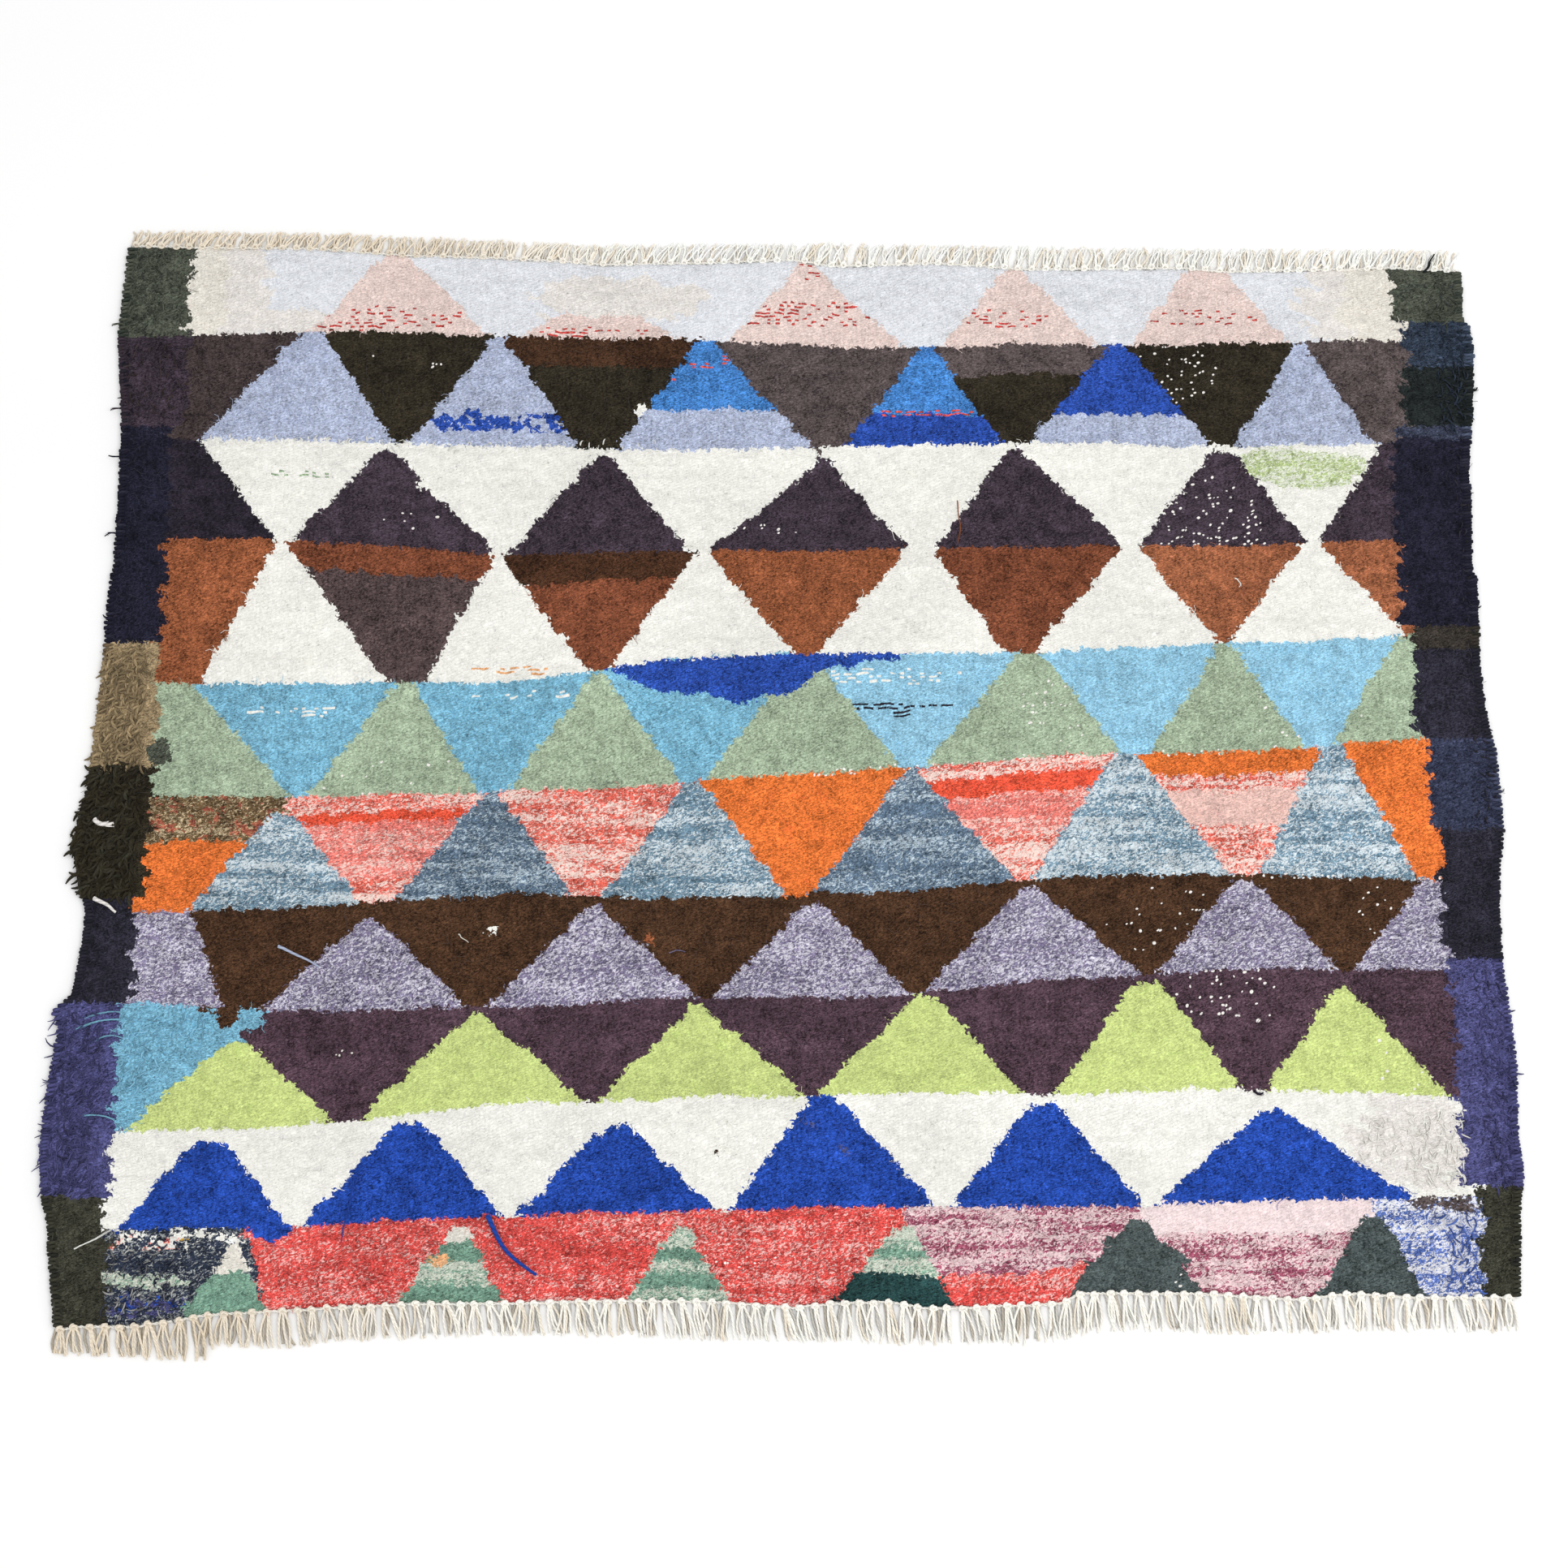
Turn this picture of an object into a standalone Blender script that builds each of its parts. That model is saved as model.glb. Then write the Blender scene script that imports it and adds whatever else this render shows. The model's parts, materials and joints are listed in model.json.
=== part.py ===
"""Boucherouite rug: a hand-woven flat rug with a knotted warp fringe along both woven ends.

The frame is in metres, +Z up. X runs along the weft, which is the rug's wide way, and Y along the
warp. The near end is at -Y and the far end at +Y. The origin is at the middle of the box round the
rug and its fringes, on the surface that the rug lies on.
"""
import random

import bpy

MM = 0.001

CLOTH_THICKNESS = 5.0 * MM
CORD_DIAMETER = 2.4 * MM
FRINGE_THICKNESS = 3.0 * MM
GAP = 0.35 * MM

BUNCH_PITCH = 15.0 * MM
BUNCH_ROOT_WIDTH = 6.5 * MM
BUNCH_TIP_WIDTH = 10.5 * MM
BUNCH_LEAN = 4.0 * MM
BUNCH_TIP_SCATTER = 1.5 * MM
FRINGE_HEADING = 4.0 * MM
FRINGE_SEED = 11

# The side edges, from the far corner to the near one: (y, x), in millimetres.
LEFT_SELVEDGE = (
    (598, -733), (506, -737), (487, -738), (390, -728), (225, -727), (184, -731), (136, -732),
    (47, -736), (-22, -739), (-86, -753), (-105, -749), (-140, -740), (-160, -733), (-200, -735),
    (-247, -742), (-265, -763), (-279, -753), (-330, -760), (-410, -765), (-464, -759),
    (-473, -754), (-528, -747), (-587, -739),
)
RIGHT_SELVEDGE = (
    (567, 757), (509, 755), (500, 763), (470, 765), (410, 760), (371, 755), (329, 749), (307, 750),
    (217, 747), (208, 752), (118, 747), (64, 751), (31, 757), (9, 760), (-67, 761), (-126, 753),
    (-210, 751), (-255, 755), (-319, 759), (-387, 755), (-430, 758), (-468, 752), (-555, 746),
)

# The woven ends and the fringe tips, from left to right: (x, y), in millimetres.
FAR_END = (
    (-733, 598), (-667, 596), (-519, 594), (-425, 586), (-334, 584), (-245, 579), (-201, 575),
    (-85, 577), (9, 581), (56, 573), (172, 577), (274, 569), (441, 571), (497, 566), (680, 571),
    (757, 567),
)
NEAR_END = (
    (-739, -587), (-713, -584), (-662, -584), (-612, -577), (-587, -572), (-524, -569),
    (-461, -565), (-368, -561), (-284, -561), (-170, -558), (-69, -559), (7, -565), (47, -561),
    (110, -559), (140, -565), (181, -565), (281, -561), (300, -551), (425, -551), (519, -557),
    (578, -551), (648, -555), (746, -555),
)
FAR_TIPS = ((-733, 620), (-517, 616), (-243, 603), (31, 604), (396, 598), (670, 596), (757, 594))
NEAR_TIPS = (
    (-739, -614), (-600, -620), (-585, -604), (-522, -608), (-465, -602), (-383, -598),
    (-283, -594), (-81, -599), (135, -604), (243, -604), (331, -590), (486, -594), (589, -590),
    (746, -592),
)


def metres(rows):
    """A table's rows as pairs in metres."""
    return [(first * MM, second * MM) for first, second in rows]


def height_at(rows, x):
    """The y of a left-to-right line at x, straight between its points and level past its ends."""
    points = metres(rows)
    if x <= points[0][0]:
        return points[0][1]
    for (x0, y0), (x1, y1) in zip(points, points[1:]):
        if x <= x1:
            return y0 + (y1 - y0) * (x - x0) / (x1 - x0)
    return points[-1][1]


def plain_material(name, colour, roughness):
    """A matt, non-metallic finish."""
    material = bpy.data.materials.new(name)
    material.use_nodes = True
    shader = material.node_tree.nodes["Principled BSDF"]
    shader.inputs["Base Color"].default_value = (*colour, 1.0)
    shader.inputs["Roughness"].default_value = roughness
    shader.inputs["Metallic"].default_value = 0.0
    return material


def add_curve(name, points, collection, material, cyclic, dimensions):
    """A curve object of one spline of straight runs through (x, y, z) points."""
    data = bpy.data.curves.new(name, "CURVE")
    data.dimensions = dimensions
    spline = data.splines.new("POLY")
    spline.points.add(len(points) - 1)
    for target, point in zip(spline.points, points):
        target.co = (*point, 1.0)
    spline.use_cyclic_u = cyclic
    data.materials.append(material)
    curve = bpy.data.objects.new(name, data)
    collection.objects.link(curve)
    return curve


def flat_piece(name, outline, thickness, collection, material):
    """A flat solid of this outline and thickness, lying on the surface."""
    points = [(x, y, 0.0) for x, y in outline]
    piece = add_curve(name, points, collection, material, cyclic=True, dimensions="2D")
    piece.data.fill_mode = "BOTH"
    piece.data.extrude = thickness / 2.0
    piece.location.z = thickness / 2.0
    return piece


def woven_cloth(collection, material):
    """The rug's one flat woven cloth, with its uneven ends and selvedges."""
    left = [(x, y) for y, x in metres(LEFT_SELVEDGE)]
    right = [(x, y) for y, x in metres(RIGHT_SELVEDGE)]
    far = metres(FAR_END)
    near = metres(NEAR_END)
    outline = far[:-1] + right[:-1] + near[::-1][:-1] + left[::-1][:-1]
    return flat_piece("rug_cloth", outline, CLOTH_THICKNESS, collection, material)


def end_cord(name, end, outward, collection, material):
    """The twined cord that lies against a woven end. outward is 1 at the far end, -1 at the near."""
    away = outward * (GAP + CORD_DIAMETER / 2.0)
    points = [(x, y + away, 0.0) for x, y in metres(end)]
    cord = add_curve(name, points, collection, material, cyclic=False, dimensions="3D")
    cord.data.bevel_depth = CORD_DIAMETER / 2.0
    cord.data.bevel_resolution = 2
    cord.data.use_fill_caps = True
    cord.location.z = CLOTH_THICKNESS / 2.0
    return cord


def bunch(x, end, tips, outward, scatter):
    """One tooth of the comb, left to right: a narrow root that fans out to a wider, leaning tip."""
    root = outward * (2.0 * GAP + CORD_DIAMETER + FRINGE_HEADING)
    left_root = x - BUNCH_ROOT_WIDTH / 2.0
    right_root = x + BUNCH_ROOT_WIDTH / 2.0
    left_tip = x + BUNCH_LEAN - BUNCH_TIP_WIDTH / 2.0
    right_tip = x + BUNCH_LEAN + BUNCH_TIP_WIDTH / 2.0
    short = -outward * scatter
    return [
        (left_root, height_at(end, left_root) + root),
        (left_tip, height_at(tips, left_tip) + short),
        (right_tip, height_at(tips, right_tip) + short),
        (right_root, height_at(end, right_root) + root),
    ]


def warp_fringe(name, end, tips, outward, collection, material):
    """The comb of knotted warp bunches along a woven end, its heading against the end cord."""
    draw = random.Random(FRINGE_SEED)
    back = outward * (2.0 * GAP + CORD_DIAMETER)
    heading = [(x, y + back) for x, y in metres(end)]
    left, right = heading[0][0], heading[-1][0]
    margin = BUNCH_TIP_WIDTH / 2.0
    count = int((right - left - 2.0 * margin - BUNCH_LEAN) / BUNCH_PITCH) + 1
    teeth = []
    for index in range(count):
        x = left + margin + index * BUNCH_PITCH
        teeth += bunch(x, end, tips, outward, draw.uniform(0.0, BUNCH_TIP_SCATTER))
    corner_drop = outward * FRINGE_HEADING
    corners = [(heading[0][0], heading[0][1] + corner_drop),
               (heading[-1][0], heading[-1][1] + corner_drop)]
    outline = heading + [corners[1]] + teeth[::-1] + [corners[0]]
    return flat_piece(name, outline, FRINGE_THICKNESS, collection, material)


def main():
    for item in list(bpy.data.objects):
        bpy.data.objects.remove(item, do_unlink=True)
    collection = bpy.data.collections.new("boucherouite_rug")
    bpy.context.scene.collection.children.link(collection)

    wool = plain_material("wool", (0.30, 0.24, 0.22), 0.95)
    cotton = plain_material("cotton_warp", (0.80, 0.76, 0.66), 0.9)
    twine = plain_material("cotton_twine", (0.85, 0.82, 0.74), 0.9)

    woven_cloth(collection, wool)
    end_cord("end_cord_far", FAR_END, 1, collection, twine)
    end_cord("end_cord_near", NEAR_END, -1, collection, twine)
    warp_fringe("fringe_far", FAR_END, FAR_TIPS, 1, collection, cotton)
    warp_fringe("fringe_near", NEAR_END, NEAR_TIPS, -1, collection, cotton)


if __name__ == "__main__":
    main()
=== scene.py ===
"""The looks of a boucherouite rug: its woven cloth, selvedges, end cords, fringes and loose fibres.

The cloth is woven cell by cell. A chart says which yarn each cell of the weft is, from the rows of
triangles, the side borders and the small marks on them, and the cells' colours go into the cloth's
own attributes. Sizes are in metres, and the chart's tables are in millimetres. X runs along the
weft, and the far end is at +Y.
"""
import json
import math
from collections import namedtuple

import bpy
import numpy as np
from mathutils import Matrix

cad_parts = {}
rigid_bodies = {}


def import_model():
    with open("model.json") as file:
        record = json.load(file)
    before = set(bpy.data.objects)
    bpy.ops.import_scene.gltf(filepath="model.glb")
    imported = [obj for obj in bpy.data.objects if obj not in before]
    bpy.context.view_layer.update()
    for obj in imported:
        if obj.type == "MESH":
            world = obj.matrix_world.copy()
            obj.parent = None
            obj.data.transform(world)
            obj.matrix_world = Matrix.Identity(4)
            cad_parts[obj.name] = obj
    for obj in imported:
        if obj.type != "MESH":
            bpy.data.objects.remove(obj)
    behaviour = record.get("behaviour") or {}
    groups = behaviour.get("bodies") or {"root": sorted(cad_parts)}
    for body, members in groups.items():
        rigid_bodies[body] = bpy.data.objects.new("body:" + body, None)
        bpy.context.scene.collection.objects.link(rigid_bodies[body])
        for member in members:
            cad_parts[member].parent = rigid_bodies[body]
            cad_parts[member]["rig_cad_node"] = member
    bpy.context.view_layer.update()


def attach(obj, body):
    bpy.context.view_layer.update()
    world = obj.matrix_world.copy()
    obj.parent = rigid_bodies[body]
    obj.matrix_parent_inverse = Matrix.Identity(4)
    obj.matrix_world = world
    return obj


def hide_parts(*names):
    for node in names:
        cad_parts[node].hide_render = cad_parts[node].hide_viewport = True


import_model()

bl_info = {
    "name": "Boucherouite Rug",
    "version": (1, 0, 0),
    "blender": (4, 5, 0),
    "location": "3D View > Sidebar > Rug",
    "description": "Weaves a flat boucherouite rug with its fringes around its packed frame",
    "category": "Add Mesh",
}

MM = 0.001

# ------------------
# Yarns: ground and fleck colours as sRGB bytes, the share of the yarn that takes the fleck, and
# how strongly the fleck shows in it.

Yarn = namedtuple("Yarn", "ground fleck share streak")

YARNS = {
    "pale": Yarn((231, 233, 238), (211, 217, 225), 0.26, 0.45),
    "pale_cream": Yarn((235, 230, 225), (220, 210, 200), 0.22, 0.40),
    "cream": Yarn((235, 230, 220), (225, 210, 195), 0.24, 0.40),
    "white": Yarn((246, 245, 238), (228, 226, 218), 0.10, 0.20),
    "pink": Yarn((232, 211, 204), (220, 190, 182), 0.26, 0.45),
    "pink_red": Yarn((185, 65, 60), (215, 130, 120), 0.30, 0.50),
    "lavender": Yarn((177, 186, 210), (148, 159, 193), 0.30, 0.55),
    "azure": Yarn((70, 130, 200), (105, 155, 205), 0.18, 0.40),
    "royal": Yarn((42, 75, 162), (70, 105, 182), 0.18, 0.40),
    "deep_royal": Yarn((35, 70, 160), (60, 95, 180), 0.18, 0.40),
    "taupe": Yarn((85, 75, 75), (110, 100, 95), 0.20, 0.45),
    "umber": Yarn((45, 40, 30), (65, 55, 45), 0.20, 0.35),
    "dark_taupe": Yarn((65, 55, 55), (85, 70, 70), 0.20, 0.40),
    "rust_dark": Yarn((66, 44, 30), (52, 38, 26), 0.30, 0.40),
    "plum": Yarn((62, 52, 62), (88, 74, 88), 0.18, 0.45),
    "night": Yarn((40, 35, 45), (55, 50, 65), 0.15, 0.25),
    "rust": Yarn((145, 85, 55), (120, 65, 40), 0.30, 0.40),
    "rust_deep": Yarn((122, 70, 48), (100, 58, 38), 0.30, 0.40),
    "rust_light": Yarn((155, 95, 65), (130, 70, 50), 0.25, 0.40),
    "rust_brown": Yarn((70, 45, 30), (55, 35, 25), 0.20, 0.25),
    "grey_brown": Yarn((85, 70, 70), (65, 55, 55), 0.28, 0.45),
    "sage": Yarn((165, 182, 156), (135, 160, 130), 0.24, 0.55),
    "sky": Yarn((125, 180, 205), (86, 154, 188), 0.26, 0.50),
    "sky_pale": Yarn((150, 200, 225), (110, 175, 210), 0.24, 0.50),
    "denim": Yarn((105, 134, 153), (215, 225, 230), 0.44, 0.95),
    "denim_dark": Yarn((90, 110, 130), (185, 200, 210), 0.36, 0.9),
    "orange": Yarn((224, 117, 56), (205, 97, 42), 0.25, 0.40),
    "olive_mix": Yarn((100, 80, 55), (205, 185, 150), 0.36, 0.9),
    "olive_red": Yarn((140, 75, 60), (205, 130, 100), 0.34, 0.80),
    "coral": Yarn((220, 100, 85), (250, 225, 215), 0.46, 0.95),
    "salmon": Yarn((225, 120, 110), (250, 215, 205), 0.36, 0.9),
    "red": Yarn((225, 85, 60), (240, 130, 110), 0.20, 0.40),
    "rose": Yarn((235, 195, 185), (220, 150, 140), 0.15, 0.50),
    "brown": Yarn((69, 47, 32), (94, 66, 46), 0.24, 0.50),
    "heather": Yarn((118, 110, 138), (214, 210, 222), 0.42, 0.95),
    "lime": Yarn((205, 220, 140), (185, 200, 110), 0.24, 0.45),
    "plum_red": Yarn((76, 57, 67), (105, 82, 94), 0.25, 0.55),
    "red_mix": Yarn((210, 75, 70), (245, 195, 190), 0.30, 0.9),
    "green": Yarn((112, 148, 130), (140, 170, 150), 0.30, 0.60),
    "green_white": Yarn((232, 236, 220), (172, 190, 128), 0.40, 0.95),
    "green_cream": Yarn((210, 215, 200), (110, 150, 130), 0.38, 0.9),
    "teal": Yarn((40, 70, 70), (60, 85, 85), 0.15, 0.25),
    "green_grey": Yarn((75, 85, 85), (60, 65, 60), 0.30, 0.35),
    "burgundy_mix": Yarn((232, 204, 206), (138, 52, 82), 0.46, 0.95),
    "blush": Yarn((245, 225, 225), (230, 195, 200), 0.20, 0.50),
    "marl": Yarn((42, 49, 65), (172, 176, 176), 0.28, 0.95),
    "gold": Yarn((215, 170, 60), (190, 140, 50), 0.25, 0.50),
    "blue_white": Yarn((85, 110, 180), (238, 238, 242), 0.50, 0.95),
    "dot": Yarn((250, 245, 240), (250, 245, 240), 0.0, 0.0),
    "stain": Yarn((70, 75, 120), (60, 75, 130), 0.30, 0.50),
    "orange_stain": Yarn((230, 170, 120), (240, 205, 170), 0.30, 0.50),
    "green_dash": Yarn((150, 175, 140), (190, 205, 180), 0.30, 0.40),
    "charcoal_green": Yarn((80, 84, 73), (54, 60, 54), 0.36, 0.70),
    "plum_brown": Yarn((60, 50, 60), (45, 40, 50), 0.25, 0.25),
    "navy_black": Yarn((30, 30, 45), (45, 45, 60), 0.20, 0.35),
    "olive": Yarn((160, 140, 108), (112, 96, 74), 0.30, 0.60),
    "dark_olive": Yarn((48, 43, 31), (36, 32, 26), 0.38, 0.60),
    "navy": Yarn((42, 41, 52), (35, 35, 45), 0.25, 0.25),
    "indigo": Yarn((78, 78, 124), (56, 56, 92), 0.30, 0.50),
    "black_brown": Yarn((60, 60, 50), (45, 45, 40), 0.30, 0.30),
    "navy_grey": Yarn((45, 55, 70), (72, 84, 104), 0.28, 0.50),
    "black_green": Yarn((30, 35, 35), (45, 50, 50), 0.25, 0.35),
    "slate": Yarn((48, 52, 68), (78, 86, 108), 0.30, 0.50),
    "olive_black": Yarn((55, 50, 45), (40, 40, 35), 0.25, 0.35),
    "steel_navy": Yarn((47, 51, 71), (70, 75, 100), 0.30, 0.50),
}

# ------------------
# The chart. Rows of triangles lie between lines across the rug. Each line has its y at these x.

STATIONS = (-700, -500, -300, -100, 100, 300, 500, 700)
LINES = (
    (490, 495, 490, 485, 475, 480, 480, 485),
    (370, 365, 360, 355, 360, 365, 360, 365),
    (255, 250, 235, 240, 240, 245, 245, 255),
    (90, 90, 90, 120, 125, 125, 135, 145),
    (-35, -35, -30, -20, -5, 10, 15, 30),
    (-160, -155, -140, -145, -140, -120, -120, -125),
    (-255, -265, -260, -250, -250, -230, -220, -220),
    (-390, -385, -360, -355, -350, -350, -345, -355),
    (-490, -485, -475, -470, -465, -465, -460, -455),
)

# An up triangle: where its foot starts, its apex starts and ends, and its foot ends, its fill, and
# the share of the row's height that it reaches. A fill is one yarn, or yarns from the top down with
# the share of the height at which each gives way to the next. Downs fill what is left between ups.
Up = namedtuple("Up", "foot_left apex_left apex_right foot_right fill reach", defaults=(1.0,))
Row = namedtuple("Row", "ups downs")
OFF_LEFT = -900
OFF_RIGHT = 900

ROWS = (
    Row((
        Up(-525, -445, -420, -330, "pink"),
        Up(-290, -250, -160, -120, "pink", 0.3),
        Up(-65, 20, 30, 135, "pink"),
        Up(175, 250, 265, 350, "pink"),
        Up(385, 450, 495, 560, "pink"),
    ), ("pale",) * 6),
    Row((
        Up(-645, -535, -515, -430, "lavender"),
        Up(-415, -320, -315, -225, "lavender"),
        Up(-185, -95, -80, 35, ("azure", 0.37, "lavender")),
        Up(65, 155, 165, 240, ("azure", 0.32, "royal")),
        Up(270, 360, 380, 470, ("royal", 0.31, "lavender")),
        Up(495, 570, 575, 650, "lavender"),
    ), (
        "dark_taupe", "umber", ("rust_dark", 0.74, "umber"), "taupe",
        ("taupe", 0.71, "umber"), "umber", "taupe",
    )),
    Row((
        Up(OFF_LEFT, OFF_LEFT + 1, -645, -555, "night"),
        Up(-535, -445, -430, -310, "plum", 0.92),
        Up(-300, -205, -195, -100, "plum", 0.95),
        Up(-80, 40, 45, 135, "plum", 0.91),
        Up(165, 245, 260, 370, "plum", 0.94),
        Up(385, 470, 495, 570, "plum", 0.94),
        Up(580, 660, OFF_RIGHT - 1, OFF_RIGHT, "plum"),
    ), ("white",) * 8),
    Row((
        Up(-630, -550, -545, -425, "white"),
        Up(-385, -315, -310, -210, "white"),
        Up(-185, -95, -85, 10, "white"),
        Up(35, 135, 160, 240, "white"),
        Up(270, 370, 385, 470, "white"),
        Up(480, 565, 585, 670, "white"),
    ), (
        "rust", ("rust_deep", 0.79, "grey_brown"), ("rust_brown", 0.75, "rust_deep"), "rust",
        "rust_deep", "rust_light", "rust_light",
    )),
    Row((
        Up(OFF_LEFT, OFF_LEFT + 1, -635, -525, "sage"),
        Up(-510, -415, -400, -325, "sage"),
        Up(-295, -205, -200, -110, "sage"),
        Up(-85, 20, 30, 125, "sage"),
        Up(150, 255, 275, 360, "sage"),
        Up(390, 470, 480, 560, "sage"),
        Up(585, 665, OFF_RIGHT - 1, OFF_RIGHT, "sage"),
    ), ("sky",) * 4 + ("sky_pale",) * 4),
    Row((
        Up(-630, -540, -520, -445, "denim", 0.85),
        Up(-410, -320, -305, -225, "denim_dark"),
        Up(-195, -105, -90, 3, "denim"),
        Up(30, 130, 140, 245, "denim_dark"),
        Up(260, 355, 375, 470, "denim"),
        Up(500, 575, 595, 670, "denim"),
    ), (
        ("olive_mix", 0.6, "orange"),
        ("coral", 0.84, "red", 0.74, "salmon", 0.2, "coral"),
        "coral", "orange",
        ("coral", 0.87, "red", 0.72, "salmon", 0.4, "coral"),
        ("orange", 0.81, "coral", 0.68, "rose", 0.39, "coral"),
        "orange",
    )),
    Row((
        Up(OFF_LEFT, OFF_LEFT + 1, -625, -585, "heather"),
        Up(-545, -445, -430, -330, "heather", 0.85),
        Up(-310, -205, -195, -90, "heather", 0.9),
        Up(-75, 20, 40, 135, "heather", 0.89),
        Up(145, 250, 265, 375, "heather", 0.92),
        Up(390, 475, 495, 580, "heather", 0.93),
        Up(595, 675, OFF_RIGHT - 1, OFF_RIGHT, "heather"),
    ), ("brown",) * 8),
    Row((
        Up(-680, -575, -560, -465, "lime", 0.74),
        Up(-440, -325, -315, -205, "lime", 0.93),
        Up(-195, -95, -85, 25, "lime", 0.92),
        Up(30, 140, 155, 245, "lime", 0.97),
        Up(280, 365, 390, 475, "lime", 0.93),
        Up(500, 575, 590, 690, "lime", 0.83),
    ), ("sky",) + ("plum_red",) * 6),
    Row((
        Up(-685, -605, -575, -505, "deep_royal", 0.88),
        Up(-495, -400, -375, -290, "deep_royal", 0.92),
        Up(-275, -180, -165, -70, "deep_royal", 0.8),
        Up(-55, 30, 55, 155, "deep_royal"),
        Up(170, 255, 280, 370, "deep_royal", 0.9),
        Up(380, 495, 515, 650, "deep_royal", 0.82),
    ), ("white",) * 7),
    Row((
        Up(OFF_LEFT, OFF_LEFT + 1, -550, -525, "marl"),
        Up(-610, -562, -558, -527, ("cream", 0.5, "green"), 0.85),
        Up(
            -395, -335, -325, -285,
            ("cream", 0.7, "green", 0.5, "green_cream", 0.2, "green"), 0.93,
        ),
        Up(
            -160, -110, -100, -55,
            (
                "green_cream", 0.58, "green", 0.44, "green_cream", 0.3, "green", 0.12,
                "green_cream",
            ),
            0.85,
        ),
        Up(
            50, 115, 130, 175,
            ("green_cream", 0.57, "green", 0.45, "green_cream", 0.29, "teal"), 0.8,
        ),
        Up(290, 355, 370, 425, "green_grey", 0.86),
        Up(540, 595, 610, 655, "green_grey", 0.82),
    ), (
        "marl", "marl", "red_mix", "red_mix", "red_mix", ("burgundy_mix", 0.33, "red_mix"),
        ("blush", 0.65, "burgundy_mix"), "blue_white",
    )),
)

# The side borders, from the far end down: where a band starts, its inner edge, and its yarn.
Band = namedtuple("Band", "y inner yarn")

LEFT_BORDER = (
    Band(620, -665, "charcoal_green"),
    Band(490, -660, "plum_brown"),
    Band(385, -675, "navy_black"),
    Band(135, -675, "olive"),
    Band(-1, -675, "dark_olive"),
    Band(-145, -685, "navy"),
    Band(-255, -695, "indigo"),
    Band(-455, -695, "black_brown"),
)
RIGHT_BORDER = (
    Band(620, 680, "charcoal_green"),
    Band(505, 690, "navy_grey"),
    Band(455, 685, "black_green"),
    Band(385, 675, "slate"),
    Band(370, 670, "navy_black"),
    Band(155, 680, "olive_black"),
    Band(130, 680, "navy"),
    Band(30, 690, "steel_navy"),
    Band(-70, 695, "navy"),
    Band(-210, 700, "indigo"),
    Band(-445, 715, "black_brown"),
)

# Small marks: an oval at x, y, its half sizes, the share of its cells that change, their new yarn,
# the only yarn that it may cover, and its kind. A patch changes the whole cell, a dot is a spot of
# bare warp in it, and a dash is a thin line across it.
Mark = namedtuple("Mark", "x y half_x half_y share yarn over kind", defaults=(None, "patch"))

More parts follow.
